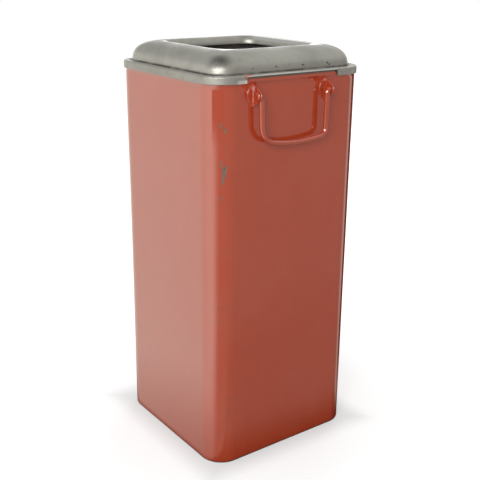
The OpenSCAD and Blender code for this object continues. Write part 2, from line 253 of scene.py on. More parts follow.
def add_mesh(name, points, quads, uv=None):
    """A smooth-shaded mesh object at the origin from arrays of points, faces and one UV per face corner."""
    mesh = bpy.data.meshes.new(name)
    mesh.from_pydata(points.reshape(-1, 3).tolist(), [], quads)
    mesh.polygons.foreach_set("use_smooth", np.ones(len(mesh.polygons), bool))
    if uv is not None:
        layer = mesh.uv_layers.new(name="around")
        layer.data.foreach_set("uv", np.asarray(uv, np.float32).ravel())
    mesh.update()
    mesh.validate()
    piece = bpy.data.objects.new(name, mesh)
    bpy.context.scene.collection.objects.link(piece)
    return piece


def grid_faces(rows, columns, wrap_rows, wrap_columns):
    """Quads of a grid of points, wrapped round to its start in either direction where asked."""
    r = np.arange(rows if wrap_rows else rows - 1)
    c = np.arange(columns if wrap_columns else columns - 1)
    rr, cc = np.meshgrid(r, c, indexing="ij")
    r2, c2 = (rr + 1) % rows, (cc + 1) % columns
    quads = np.stack([rr * columns + cc, rr * columns + c2, r2 * columns + c2, r2 * columns + cc], -1)
    return quads.reshape(-1, 4), rr.ravel(), cc.ravel()


def grid_mesh(name, grid, wrap_rows=False, wrap_columns=True, along=None, around=None, cap_first=False,
              cap_last=False):
    """A mesh over grid[row, column, xyz]. along and around give the UV of rows and columns in metres.

    A cap closes the first or last row with a fan round that row's centre.
    """
    rows, columns = grid.shape[:2]
    quads, r, c = grid_faces(rows, columns, wrap_rows, wrap_columns)
    faces = quads.tolist()
    points = grid.reshape(-1, 3)
    along = np.arange(rows, dtype=float) if along is None else along
    around = np.arange(columns, dtype=float) if around is None else around
    along_next = np.append(along[1:], 2 * along[-1] - along[-2])
    around_next = np.append(around[1:], 2 * around[-1] - around[-2])
    uv = np.stack([
        np.stack([around[c], along[r]], -1), np.stack([around_next[c], along[r]], -1),
        np.stack([around_next[c], along_next[r]], -1), np.stack([around[c], along_next[r]], -1),
    ], 1).reshape(-1, 2)
    for row, wanted, turned in ((0, cap_first, True), (rows - 1, cap_last, False)):
        if not wanted:
            continue
        centre = len(points)
        points = np.vstack([points, grid[row].mean(0)])
        ring = row * columns + np.arange(columns)
        following = np.roll(ring, -1)
        pair = (following, ring) if turned else (ring, following)
        fan = np.stack([pair[0], pair[1], np.full(columns, centre)], -1)
        faces += fan.tolist()
        uv = np.vstack([uv, np.repeat([[around[0], along[row]]], 3 * columns, 0)])
    return add_mesh(name, points, faces, uv)


def join(name, parts):
    """One object from several, at the origin."""
    bpy.ops.object.select_all(action="DESELECT")
    for part in parts:
        part.select_set(True)
    bpy.context.view_layer.objects.active = parts[0]
    bpy.ops.object.join()
    parts[0].name = name
    parts[0].data.name = name
    return parts[0]


def finish_piece(piece, body, slot, material, *nodes):
    """Gives a piece its material, sets it on its body, and lets it stand for its CAD nodes; the slot is not
    used.
    """
    piece.data.materials.clear()
    piece.data.materials.append(material)
    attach(piece, body)
    if nodes:
        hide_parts(*nodes)
    return piece


def smooth_step(x):
    """0 below 0, 1 above 1, and 3x^2 - 2x^3 between."""
    x = np.clip(x, 0.0, 1.0)
    return x * x * (3 - 2 * x)


# ---------------------------------------------------------------- outlines and sweeps


def square_outline(side_steps=36, corner_steps=14):
    """Unit description of a rounded square: for each point its corner's signs and its angle.

    A point is corner * flat + radius * (cos angle, sin angle) on a corner, and the straight line
    between the ends of two corners on a side.
    """
    signs, angles = [], []
    side_share = 0.5 - 0.5 * np.cos(np.pi * np.arange(1, side_steps) / side_steps)
    for q in range(4):
        bend = math.pi / 2 * (q + np.arange(corner_steps + 1) / corner_steps)
        signs.append(np.repeat(CORNERS[q][None], corner_steps + 1, 0))
        angles.append(bend)
        following = CORNERS[(q + 1) % 4]
        signs.append(CORNERS[q] + (following - CORNERS[q]) * side_share[:, None])
        angles.append(np.full(side_steps - 1, math.pi / 2 * (q + 1)))
    return np.concatenate(signs), np.concatenate(angles)


def square_rings(half, radius, height, outline):
    """Rings of a rounded square, one for each entry of the arrays half, radius and height.

    ring(i, j) = sign_j * (half_i - radius_i) + radius_i * (cos a_j, sin a_j), at height_i.
    """
    signs, angles = outline
    flat = (half - radius)[:, None, None]
    facing = np.stack([np.cos(angles), np.sin(angles)], -1)[None]
    plan = signs[None] * flat + radius[:, None, None] * facing
    level = np.broadcast_to(height[:, None, None], plan.shape[:2] + (1,))
    return np.concatenate([plan, level], -1)


def run_lengths(points):
    """Length along a line of points, from 0 at its first."""
    steps = np.linalg.norm(np.diff(points, axis=0), axis=1)
    return np.concatenate([[0.0], np.cumsum(steps)])


def ring_run(section):
    """Length round a closed section, from 0 at its first point to the start of its last side."""
    return run_lengths(np.vstack([section, section[:1]]))[:-1]


def rounded_path(points, radii, step):
    """Points and headings along straight stretches joined by arcs, in a plane.

    At each inner point the two legs are trimmed by radius * tan(turn / 2), and an arc of that
    radius, turning evenly, joins them. step is the spacing of the points along the whole path.
    """
    points = np.asarray(points, float)
    legs = np.diff(points, axis=0)
    lengths = np.linalg.norm(legs, axis=1)
    headings = np.arctan2(legs[:, 1], legs[:, 0])
    turns = (np.diff(headings) + math.pi) % (2 * math.pi) - math.pi
    radii = np.asarray(radii, float)
    trims = radii * np.tan(np.abs(turns) / 2)
    before, after = np.append(0.0, trims), np.append(trims, 0.0)
    place, heading = [], []
    for i in range(len(legs)):
        unit = legs[i] / lengths[i]
        start, end = points[i] + unit * before[i], points[i + 1] - unit * after[i]
        count = max(2, int(np.linalg.norm(end - start) / step) + 1)
        share = np.linspace(0, 1, count)[:, None]
        place.append(start + (end - start) * share)
        heading.append(np.full(count, headings[i]))
        if i < len(turns):
            side = np.sign(turns[i])
            centre = end + radii[i] * side * np.array([-unit[1], unit[0]])
            count = max(6, int(radii[i] * abs(turns[i]) / step) + 1)
            a = headings[i] + turns[i] * np.arange(1, count) / count
            place.append(centre + radii[i] * side * np.stack([np.sin(a), -np.cos(a)], -1))
            heading.append(a)
    place, heading = np.concatenate(place), np.concatenate(heading)
    keep = np.append(True, np.linalg.norm(np.diff(place, axis=0), axis=1) > 1e-7)
    return place[keep], heading[keep]


def sweep_flat(place, heading, section):
    """A section carried along a path in the XY plane.

    section[k] = (out, up): out is measured along the path's left normal and up along Z, so a
    point is place + out * (-sin h, cos h, 0) + up * (0, 0, 1).
    """
    normal = np.stack([-np.sin(heading), np.cos(heading)], -1)
    plan = place[:, None, :] + section[..., 0][..., None] * normal[:, None, :]
    up = np.broadcast_to(section[..., 1], plan.shape[:2])
    return np.concatenate([plan, up[..., None]], -1)


def round_section(radius, sides=24):
    """Points of a circle as (out, up)."""
    a = 2 * math.pi * np.arange(sides) / sides
    return radius * np.stack([np.cos(a), np.sin(a)], -1)


def strip_section(half_out, half_up, round_by, corner_steps=4):
    """Points of a rectangle with rounded corners as (out, up)."""
    a = math.pi / 2 * (np.arange(4)[:, None] + np.arange(corner_steps + 1)[None] / corner_steps)
    corner = CORNERS[:, None] * np.array([half_out - round_by, half_up - round_by])
    return (corner + round_by * np.stack([np.cos(a), np.sin(a)], -1)).reshape(-1, 2)


def turned_profile(profile, centre, axis, side, sides=40):
    """A profile of (radius, depth) turned round an axis through centre.

    point = centre + depth * axis + radius * (cos a * side + sin a * other).
    """
    axis, side = np.asarray(axis, float), np.asarray(side, float)
    other = np.cross(axis, side)
    a = 2 * math.pi * np.arange(sides) / sides
    around = np.cos(a)[:, None] * side + np.sin(a)[:, None] * other
    radius, depth = profile[:, 0], profile[:, 1]
    return np.asarray(centre) + depth[:, None, None] * axis + radius[:, None, None] * around[None]


def arc(centre, radius, start, end, steps):
    """Points of an arc in the plane of a profile, with its angles in degrees."""
    a = np.radians(np.linspace(start, end, steps + 1))
    return np.asarray(centre) + radius * np.stack([np.cos(a), np.sin(a)], -1)


def line(start, end, steps):
    """Points from start to end, both included."""
    return np.asarray(start) + (np.asarray(end) - np.asarray(start)) * np.linspace(0, 1, steps + 1)[:, None]


def line_headings(points):
    """Unit headings along a line of points."""
    ahead = np.gradient(points, axis=0)
    return ahead / np.linalg.norm(ahead, axis=1)[:, None]


def ribbon(middle, thickness, round_start=True, steps=4):
    """Closed profile of a sheet whose middle line is given, as (distance, height).

    Each side is the middle line moved square off itself by half the thickness, and each end is
    a half circle. The right-hand side comes first. Without round_start both sides end bare.
    """
    ahead = line_headings(middle)
    right = np.stack([ahead[:, 1], -ahead[:, 0]], -1)
    half = thickness / 2
    a = math.pi * np.arange(1, steps)[:, None] / steps
    end = middle[-1] + half * (right[-1] * np.cos(a) + ahead[-1] * np.sin(a))
    start = middle[0] - half * (right[0] * np.cos(a) + ahead[0] * np.sin(a))
    sides = [middle + half * right, end, (middle - half * right)[::-1]]
    return np.concatenate(sides + ([start] if round_start else []))


def outline_run(half, radius, outline):
    """Length round a rounded square, for its UV."""
    ring = square_rings(np.array([half]), np.array([radius]), np.zeros(1), outline)[0]
    return run_lengths(ring)


def square_shell(name, profile, half, radius, outline, closed=True):
    """A sheet-metal form with the given profile carried round a rounded square.

    The corner radius follows the profile: radius + (distance - half) on the walls. An open
    profile runs from the middle of the plate's underside to the middle of its top, and its
    plate rows shrink in proportion towards the middle.
    """
    distance, height = profile[:, 0], profile[:, 1]
    plate = distance < half - 1.5 * radius
    corner = np.where(plate, distance * 0.5 * radius / (half - 1.5 * radius), radius + distance - half)
    corner = np.clip(corner, 0.0, distance)
    grid = square_rings(distance, np.maximum(corner, 1e-5), height, outline)
    along = run_lengths(profile)
    return grid_mesh(name, grid, wrap_rows=closed, along=along, around=outline_run(half, radius, outline),
                     cap_first=not closed, cap_last=not closed)


def square_plate(name, corners, bend, sheet, half, radius):
    """A square plate with a bent edge, from the corners of its sheet's middle line and its bend radius."""
    place, _ = rounded_path(corners, [bend], 0.004)
    profile = ribbon(place, sheet, round_start=False)
    return square_shell(name, profile, half, radius, square_outline(20, 10), closed=False)


# ---------------------------------------------------------------- body


def body_profile(s, half, top):
    """The body sheet's profile: turned-in foot, wall, and folded hem."""
    inner = half - s.sheet
    hem_low = top - s.hem_height
    bend, nib = 0.0016, 0.0004
    fold = (s.hem_proud + s.sheet) / 2
    foot_in = half - s.foot_width
    return np.concatenate([
        arc((half - bend, bend), bend, -90, 0, 6),
        line((half, bend), (half, hem_low - 0.0003), 72)[1:],
        arc((half + s.hem_proud - nib, hem_low + nib), nib, -90, 0, 4),
        line((half + s.hem_proud, hem_low + nib), (half + s.hem_proud, top - fold), 4)[1:],
        arc((half + s.hem_proud - fold, top - fold), fold, 0, 180, 10)[1:],
        line((inner, top - fold), (inner, s.sheet + nib), 72)[1:],
        arc((inner - nib, s.sheet + nib), nib, 0, -90, 3)[1:],
        arc((foot_in + s.sheet / 2, s.sheet / 2), s.sheet / 2, 90, 270, 5),
    ])


def dented(grid, depth, top):
    """Pushes the walls in by depth * (half the sum of two long waves round and up the body).

    The push fades out at the foot and below the hem, so that those stay straight.
    """
    x, y, z = np.moveaxis(grid, -1, 0)
    turn = np.arctan2(y, x)
    wave = np.sin(3 * turn + 9.0 * z + 0.6) * np.sin(7.0 * z + 1.9) + np.sin(5 * turn - 4.0 * z + 2.2)
    share = smooth_step((z - 0.05) / 0.10) * smooth_step((top - 0.10 - z) / 0.10)
    push = depth * (0.5 + 0.25 * wave) * share
    length = np.maximum(np.hypot(x, y), 1e-6)
    return grid - np.stack([x / length, y / length, np.zeros_like(z)], -1) * push[..., None]


class ASHTRAY_BIN_OT_body(bpy.types.Operator):
    """Build the painted body with its folded hem, turned-in foot and lock seam, and the base pan."""

    bl_idname = "ashtray_bin.body"
    bl_label = "Painted body"

    def execute(self, context):
        """Makes the body's skin, its seam and the base pan."""
        s = settings().body
        paint = enamel("red_enamel")
        half, top = wall_half(), BODY_HIGH.z
        outline = square_outline()
        profile = body_profile(s, half, top)
        distance, height = profile[:, 0], profile[:, 1]
        grid = square_rings(distance, s.corner_radius + distance - half, height, outline)
        grid = dented(grid, s.dent_depth, top)
        skin = grid_mesh("body_skin", grid, wrap_rows=True, along=run_lengths(profile),
                         around=outline_run(half, s.corner_radius, outline))
        finish_piece(skin, "body", "red_paint", paint, "body_shell")
        finish_piece(self.seam(s, half, top), "body", "red_paint", paint)
        finish_piece(self.pan(s), "body", "galvanised_steel", galvanised("pan_zinc"), "base_pan")
        return {"FINISHED"}

    def seam(self, s, half, top):
        """The lock seam: a flat strip with round edges, standing up the middle of the rear wall."""
        root = half - s.sheet
        section = strip_section(s.seam_width / 2, (half + s.seam_proud - root) / 2, 0.0006)
        height = line((0.0002, 0), (top - s.hem_height, 0), 40)[:, 0]
        wave = 0.0002 * np.sin(11.0 * height + 0.5) * np.sin(5.0 * height)
        grid = np.empty((len(height), len(section), 3))
        grid[..., 0] = section[None, :, 0] + wave[:, None]
        grid[..., 1] = section[None, :, 1] + (half + s.seam_proud + root) / 2
        grid[..., 2] = height[:, None]
        return grid_mesh("body_seam", grid, along=height, around=ring_run(section),
                         cap_first=True, cap_last=True)

    def pan(self, s):
        """The base pan: a flat plate whose edge is turned down to stand on the foot."""
        edge, plate = PAN_HIGH.x - s.sheet / 2, PAN_HIGH.z - s.sheet / 2
        corners = [(PLATE_START, plate), (edge, plate), (edge, PAN_LOW.z + s.sheet / 2)]
        return square_plate("base_pan_skin", corners, 0.0028, s.sheet, PAN_HIGH.x, s.corner_radius - s.sheet)


# ---------------------------------------------------------------- lugs and handles


def leaf_pad(name, s, wall, x, z):
    """The lug's pad, a flat leaf on the wall.

    At height v its half width is sqrt(R^2 - v^2) - (R - w), the width of two crossing arcs, and
    its cross-section is a squared-off oval: (cos a)^0.35 wide and (sin a)^0.35 thick.
    """
    half_h, half_w = s.lug_height / 2, s.pad_width / 2
    bow = (half_w ** 2 + half_h ** 2) / (2 * half_w)
    share = np.sin(np.linspace(-0.5, 0.5, 41) * math.pi)
    v = share * half_h * 0.995
    width = np.sqrt(bow ** 2 - v ** 2) - (bow - half_w)
    a = -2 * math.pi * np.arange(40) / 40
    boxy = np.sign(np.cos(a)) * np.abs(np.cos(a)) ** 0.35, np.sign(np.sin(a)) * np.abs(np.sin(a)) ** 0.35
    thin = s.lug_sheet * (0.45 + 0.55 * smooth_step((1 - np.abs(share)) / 0.35))
    grid = np.empty((len(v), len(a), 3))
    grid[..., 0] = x + width[:, None] * boxy[0][None]
    grid[..., 1] = -wall - thin[:, None] * (0.5 + 0.5 * boxy[1][None]) + 0.0003 * (boxy[1][None] < 0)
    grid[..., 2] = z + v[:, None]
    return grid_mesh(name, grid, along=v, around=width.max() * a, cap_first=True, cap_last=True)


def ear_plate(name, s, wall, x, z, out, slant, set_over):
    """The lug's ear: a rounded triangle of sheet round the eye, standing off the wall.

    Round the eye, the edge lies where the ray at angle a leaves the hull of the eye's rim circle
    and the two ends of the crease. The crease slants: at the wall the ear shifts sideways by
    slant * height + set_over, fading to none at the eye.
    """
    eye = s.rod / 2 + s.eye_clearance
    rim = s.rod / 2 + 0.0001 + s.eye_rim
    half_h = s.lug_height / 2
    away = math.hypot(out, half_h)
    touch = math.atan2(half_h, -out) - math.acos(rim / away)
    a = 2 * math.pi * np.arange(96) / 96
    facing = np.stack([np.cos(a), np.sin(a)], -1)
    tangents = np.array([[math.cos(touch), math.sin(touch)], [math.cos(touch), -math.sin(touch)]])
    with np.errstate(divide="ignore"):
        reach = rim / np.maximum(facing @ tangents.T, 1e-6)
        to_wall = np.where(facing[:, 0] < -1e-6, out / np.maximum(-facing[:, 0], 1e-6), 1.0)
    hull = np.minimum(reach.min(1), to_wall)
    behind = np.abs((a - math.pi + math.pi) % (2 * math.pi) - math.pi) < math.pi - touch
    edge = np.where(behind, hull, rim)
    soft = 0.0004
    half_t = s.lug_sheet / 2
    ends = arc((0, 0), 1.0, -90, 90, 6)
    shares = np.linspace(0, 1, 7)[1:-1]
    across = np.concatenate([
        np.stack([np.ones(7), ends[:, 0] * soft, ends[:, 1]], -1),
        np.stack([1 - shares, 0 * shares, 1 + 0 * shares], -1),
        np.stack([np.zeros(7), -ends[:, 0] * soft, -ends[:, 1]], -1),
        np.stack([shares, 0 * shares, -1 + 0 * shares], -1),
    ])
    inner, outer = eye + soft, edge[:, None] - soft
    radius = inner + (outer - inner) * across[None, :, 0] + across[None, :, 1]
    u = radius * facing[:, 0:1]
    v = radius * facing[:, 1:2]
    depth = half_t * across[None, :, 2]
    near = np.clip(-u / out, 0.0, 1.0)
    grid = np.empty(radius.shape + (3,))
    grid[..., 0] = x + depth + near * (slant * v + set_over)
    grid[..., 1] = -wall - out - u
    grid[..., 2] = z + v
    return grid_mesh(name, grid, wrap_rows=True, along=a * rim, around=np.arange(len(across)) * 0.0005)


def handle_path(s):
    """Corners and bend radii of the handle's middle line, from its left end to its right."""
    leg = s.leg_half_span
    end = s.ear_half_span + s.lug_sheet / 2 + s.head_gap + s.head_thickness
    corners = [
        (-end, 0), (-leg, 0), (-leg + s.lean_left, s.rise_left - s.drop), (0, -s.drop),
        (leg - s.lean_right, s.rise_right - s.drop), (leg, 0), (end, 0),
    ]
    return corners, [s.bend_ear, s.bend_left, s.bend_sag, s.bend_right, s.bend_ear]


def handle_rod(name, s, centre_x, hinge_y, hinge_z):
    """The bent rod with a flattened head at each end, as one skin.

    A circle is carried along the bent path. Its radius follows the head's rounded profile over
    the first and last stretch and is the rod's elsewhere, less a faint waviness left by bending.
    """
    corners, bends = handle_path(s)
    place, heading = rounded_path(corners, bends, 0.0016)
    run = run_lengths(place)
    rod, head, thick = s.rod / 2, s.head / 2, s.head_thickness
    shape = np.array([[0.00, 0.40], [0.03, 0.62], [0.10, 0.78], [0.24, 0.90], [0.42, 0.97], [0.60, 1.0],
                      [0.80, 0.985], [0.93, 0.93], [0.99, 0.84]])
    head_run = shape[:, 0] * thick
    total = run[-1]
    inside = (run > thick) & (run < total - thick)
    stations = np.concatenate([head_run, [thick], run[inside], [total - thick], total - head_run[::-1]])
    radius = np.full(len(stations), rod)
    radius[:len(shape)] = shape[:, 1] * head
    radius[-len(shape):] = shape[::-1, 1] * head
    wavy = 0.00012 * (np.sin(310 * stations) * np.sin(97 * stations + 1.0) - 1)
    radius += np.where((stations > 0.02) & (stations < total - 0.02), wavy, 0.0)
    spot = np.stack([np.interp(stations, run, place[:, k]) for k in (0, 1)], -1)
    turn = np.interp(stations, run, heading)
    section = radius[:, None, None] * round_section(1.0, 32)[None]
    flat = sweep_flat(spot, turn, section)
    grid = np.stack([centre_x + flat[..., 0], hinge_y - flat[..., 2], hinge_z + flat[..., 1]], -1)
    around = rod * 2 * math.pi * np.arange(32) / 32
    return grid_mesh(name, grid, along=stations, around=around, cap_first=True, cap_last=True)


def turned_round(piece):
    """Turns a finished mesh half round the upright axis, in its points."""
    piece.data.transform(Matrix.Rotation(math.pi, 4, "Z"))
    piece.data.update()
    return piece


class ASHTRAY_BIN_OT_lugs(bpy.types.Operator):
    """Build the four lugs, each a leaf-shaped pad with an ear folded out of it."""

    bl_idname = "ashtray_bin.lugs"
    bl_label = "Handle lugs"

    slant_left: plain("Left slant", "Sideways shift of the left crease for each unit of height", 0.24, -1.0)
    slant_right: plain("Right slant", "Sideways shift of the right crease for each unit of height",
                       0.11, -1.0)

    def execute(self, context):
        """Makes the front pair, and the same pair turned half round for the rear."""
        s = settings().handle
        paint = enamel("lug_enamel", worn=0.5)
        wall = wall_half()
        over_left, over_right = 0.0009, -0.0005
        sides = [("left", -1, self.slant_left, over_left), ("right", 1, self.slant_right, over_right)]
        other = {"left": "right", "right": "left"}
        for face in ("front", "rear"):
            for side, shift, slant, over in sides:
                x = HINGE[0] + shift * s.ear_half_span
                shown = side if face == "front" else other[side]
                node = f"lug_{face}_{shown}"
                pad = leaf_pad("pad", s, wall, x, HINGE[2])
                ear = ear_plate("ear", s, wall, x, HINGE[2], -HINGE[1] - wall, slant, over)
                lug = join(node + "_skin", [pad, ear])
                if face == "rear":
                    turned_round(lug)
                finish_piece(lug, "body", "red_paint", paint, node)
        return {"FINISHED"}


class ASHTRAY_BIN_OT_handles(bpy.types.Operator):
    """Build the two drop handles, bent from round rod and headed at both ends."""

    bl_idname = "ashtray_bin.handles"
    bl_label = "Drop handles"

    def execute(self, context):
        """Makes the front handle, and the same one turned half round for the rear."""
        s = settings().handle
        paint = enamel("handle_enamel", worn=1.0)
        front = handle_rod("handle_front_rod", s, *HINGE)
        rear = turned_round(handle_rod("handle_rear_rod", s, *HINGE))
        finish_piece(front, "front_handle", "red_paint", paint, "handle_front")
        finish_piece(rear, "rear_handle", "red_paint", paint, "handle_rear")
        return {"FINISHED"}


# ---------------------------------------------------------------- lid


def lid_outer_line(s, wall):
    """Profile of the lid's outer face as (distance, height), from the skirt's edge in to the lip.

    The dome is a squared-off quarter oval: its distance in from the foot is
    width * (1 - cos(a)^p) and its height is height * sin(a)^p. The lip is a quarter ellipse.
    """
    rim = LID_HIGH.z - s.dome_height
    skirt = wall + s.skirt_out
    foot = wall - s.dome_inset
    groove_edge, groove_floor, dip = foot + 0.0049, foot + 0.0021, s.groove + 0.0004
    edge, _ = rounded_path(
        [(skirt, rim - s.skirt_height + s.sheet / 2), (skirt, rim), (groove_edge, rim),
         (groove_floor, rim - dip), (foot, rim + 0.0002), (foot, rim + 0.0018)],
        [s.rim_round, 0.0015, 0.0012, 0.0012], 0.0006)
    a = np.radians(np.linspace(0, 90, 41))
    dome = np.stack([foot - s.dome_run * (1 - np.cos(a) ** s.dome_power),
                     rim + s.dome_height * np.sin(a) ** s.dome_power], -1)
    dome = dome[dome[:, 1] > rim + 0.0024]
    b = np.radians(np.linspace(0, 90, 15))[1:]
    crest = foot - s.dome_run
    lip = np.stack([crest - s.lip_run * np.sin(b), LID_HIGH.z - s.lip_fall * (1 - np.cos(b))], -1)
    return np.concatenate([edge, dome, lip]), rim


def lid_corner(s, distance, wall):
    """Corner radius of the lid at a distance from its middle, straight between its named places."""
    crest = wall - s.dome_inset - s.dome_run
    places = [crest - s.lip_run, crest, wall - s.dome_inset, wall + s.skirt_out]
    corner = settings().body.corner_radius + s.skirt_out
    return np.interp(distance, places, [s.mouth_radius, s.crest_radius, s.foot_radius, corner])


def notched(grid, s, wall, rim):
    """Lifts the skirt's edge into the two gaps, by squeezing the skirt's rows upwards there."""
    x, y, z = np.moveaxis(grid, -1, 0)
    across = np.where(y < 0, x, -x)
    ramp = 0.0009
    inside = smooth_step((across - s.notch_from) / ramp) * smooth_step((s.notch_to - across) / ramp)
    front = np.abs(y) > wall + s.skirt_out - 3 * s.sheet
    low, top = rim - s.skirt_height, rim - s.rim_round
    gap_low = rim - s.notch_rim
    squeeze = (top - gap_low) / (top - low)
    lifted = top - (top - z) * squeeze
    share = np.where(front & (z < top), inside, 0.0)
    return np.stack([x, y, z + (lifted - z) * share], -1)


class ASHTRAY_BIN_OT_lid(bpy.types.Operator):
    """Build the pressed lid with its square mouth, skirt, groove, handle gaps and empty screw holes."""

    bl_idname = "ashtray_bin.lid"
    bl_label = "Pressed lid"

    def execute(self, context):
        """Makes the lid's sheet, lifts the skirt over the handles and drills the holes."""
        s = settings().lid
        wall = wall_half()
        outer, rim = lid_outer_line(s, wall)
        profile = self.sheet(outer, s.sheet)
        outline = self.outline(s, wall)
        distance, height = profile[:, 0], profile[:, 1]
        grid = square_rings(distance, lid_corner(s, distance, wall), height, outline)
        grid = notched(grid, s, wall, rim)
        skin = grid_mesh("lid_skin", grid, wrap_rows=True, along=run_lengths(profile),
                         around=outline_run(wall, s.foot_radius, outline))
        self.drill(skin, s, wall, rim)
        finish_piece(skin, "lid", "bare_aluminium", aluminium("lid_aluminium", rim), "lid_shell")
        return {"FINISHED"}

    def sheet(self, outer, thickness):
        """Closed profile from the outer face: out along it, round its end, and back below it."""
        ahead = line_headings(outer)
        inward = np.stack([-ahead[:, 1], ahead[:, 0]], -1)
        return ribbon(outer + inward * thickness / 2, thickness)

    def outline(self, s, wall):
        """The rounded square with extra columns at the ends of the gaps."""
        signs, angles = square_outline(44, 14)
        flat = wall - settings().body.corner_radius
        outwards = np.array([-1, 1])[:, None] * [-0.0004, 0.0, 0.0003, 0.0006, 0.0009, 0.0013]
        ends = np.array([s.notch_from, s.notch_to])[:, None] + outwards
        shares = np.sort((ends.ravel() + flat) / (2 * flat))
        for q in (0, 2):
            start, following = CORNERS[q], CORNERS[(q + 1) % 4]
            extra = start + (following - start) * shares[:, None]
            signs = np.concatenate([signs, extra])
            angles = np.concatenate([angles, np.full(len(shares), math.pi / 2 * (q + 1))])
        on_side = np.isclose(angles % (math.pi / 2), 0)
        turn = angles * 1000 + np.where(on_side, self.along_side(signs, angles), 0)
        order = np.argsort(turn, kind="stable")
        return signs[order], angles[order]

    def along_side(self, signs, angles):
        """How far a point lies along its side, from -1 at the side's start to 1 at its end."""
        return -signs[:, 0] * np.sin(angles) + signs[:, 1] * np.cos(angles)

    def drill(self, skin, s, wall, rim):
        """Cuts the small holes through the dome's front."""
        places = [-0.069, -0.027, 0.023, 0.071, 0.075]
        drops = [0, 0, 0, 0, 0.0025]
        parts = []
        reach = 0.016
        profile = np.array([[s.hole_diameter / 2, -reach], [s.hole_diameter / 2, reach]])
        for x, drop in zip(places, drops):
            z = rim + s.hole_height - drop
            pin = turned_profile(profile, (x, -wall + s.dome_inset, z), (0, 1, 0), (1, 0, 0), 20)
            parts.append(grid_mesh("drill", pin, cap_first=True, cap_last=True))
        cutter = join("drill", parts)
        cut = skin.modifiers.new("holes", "BOOLEAN")
        cut.operation, cut.object, cut.solver = "DIFFERENCE", cutter, "EXACT"
        bpy.context.view_layer.objects.active = skin
        bpy.ops.object.modifier_apply(modifier=cut.name)
        bpy.data.objects.remove(cutter)
        skin.data.set_sharp_from_angle(angle=math.radians(50))


# ---------------------------------------------------------------- liner


def liner_profile(s):
    """The liner's sheet: straight wall, then a roll over the rim wire, from its low edge."""
    wall = GRIP_HIGH.x + s.sheet / 2
    roll = s.roll_radius - s.sheet / 2
    centre = (wall + roll, LINER_HIGH.z - s.roll_radius)
    straight = line((wall, LINER_LOW.z + s.sheet / 2), (wall, centre[1]), 40)
    return ribbon(np.concatenate([straight, arc(centre, roll, 180, -128, 28)[1:]]), s.sheet)


class ASHTRAY_BIN_OT_liner(bpy.types.Operator):
    """Build the lift-out liner with its rolled rim and its base, and finish its rim wire."""

    bl_idname = "ashtray_bin.liner"
    bl_label = "Liner"

    def execute(self, context):
        """Makes the liner's wall and base, and finishes the wire inside its rim."""
        s = settings().liner
        zinc = galvanised("liner_zinc")
        half = GRIP_HIGH.x + s.sheet
        wall = square_shell("liner_skin", liner_profile(s), half, s.corner_radius, square_outline(20, 12))
        finish_piece(wall, "liner", "galvanised_steel", zinc, "liner_shell")
        edge, plate = GRIP_HIGH.x - s.sheet / 2, LINER_LOW.z + s.sheet / 2
        top = LINER_LOW.z + s.flange - s.sheet / 2
        base = square_plate("liner_base_skin", [(PLATE_START, plate), (edge, plate), (edge, top)], 0.0024,
                            s.sheet, GRIP_HIGH.x, s.corner_radius - s.sheet)
        finish_piece(base, "liner", "galvanised_steel", zinc, "liner_base")
        wire = frame["nodes"]["liner_rim_wire"]
        wire.data.materials.clear()
        wire.data.materials.append(galvanised("wire_zinc"))
        return {"FINISHED"}


class ASHTRAY_BIN_OT_grips(bpy.types.Operator):
    """Build the liner's two inside grips and the rivets that hold them."""

    bl_idname = "ashtray_bin.grips"
    bl_label = "Liner grips"

    def execute(self, context):
        """Makes the right-hand grip and its rivets, and the same turned half round."""
        s = settings().liner
        zinc = galvanised("grip_zinc")
        for side in ("right", "left"):
            grip = self.strip(s, f"liner_grip_{side}_strip")
            if side == "left":
                turned_round(grip)
            finish_piece(grip, "liner", "galvanised_steel", zinc, f"liner_grip_{side}")
        heads = []
        for turned in (False, True):
            for y in (-1, 1):
                rivet = self.rivet(s, y * (GRIP_HIGH.y - s.grip_foot / 2))
                heads.append(turned_round(rivet) if turned else rivet)
        rivets = join("grip_rivet_set", heads)
        finish_piece(rivets, "liner", "galvanised_steel", galvanised("rivet_zinc"), "liner_grip_rivets")
        return {"FINISHED"}

    def strip(self, s, name):
        """A strip bent into a bridge, carried along its plan line, with round edges and bends."""
        wall = GRIP_HIGH.x - s.grip_sheet / 2
        bar = wall - s.grip_gap
        end, knee = GRIP_HIGH.y, GRIP_HIGH.y - s.grip_foot + 0.0005
        reach = knee - 0.5 * s.grip_gap - 0.0003
        corners = [(wall, end), (wall, knee), (bar, reach), (bar, -reach), (wall, -knee), (wall, -end)]
        place, heading = rounded_path(corners, [0.004] * 4, 0.0015)
        section = strip_section(s.grip_sheet / 2, (GRIP_HIGH.z - GRIP_LOW.z) / 2, 0.0007)
        flat = sweep_flat(place, heading, np.broadcast_to(section, (len(place),) + section.shape))
        flat[..., 2] += (GRIP_HIGH.z + GRIP_LOW.z) / 2
        return grid_mesh(name, flat, along=run_lengths(place), around=ring_run(section),
                         cap_first=True, cap_last=True)

    def rivet(self, s, y):
        """A rivet with a domed head on each side of the grip's foot and the liner's wall."""
        shank, head, high = 0.0025, s.rivet_head / 2, s.rivet_height
        dome = np.array([[0.15, 1.0], [0.4, 0.97], [0.65, 0.86], [0.85, 0.64], [0.96, 0.4], [1.0, 0.18],
                         [0.99, 0.0]])
        inner = np.stack([dome[:, 0] * head, -s.grip_sheet - dome[:, 1] * high], -1)
        outer = np.stack([dome[::-1, 0] * head, s.sheet + dome[::-1, 1] * high], -1)
        neck = np.array([[shank, -s.grip_sheet], [shank, s.sheet]])
        profile = np.concatenate([inner, neck, outer])
        z = (GRIP_HIGH.z + GRIP_LOW.z) / 2
        grid = turned_profile(profile, (GRIP_HIGH.x, y, z), (1, 0, 0), (0, 1, 0), 28)
        return grid_mesh("rivet", grid, along=profile[:, 1], cap_first=True, cap_last=True)


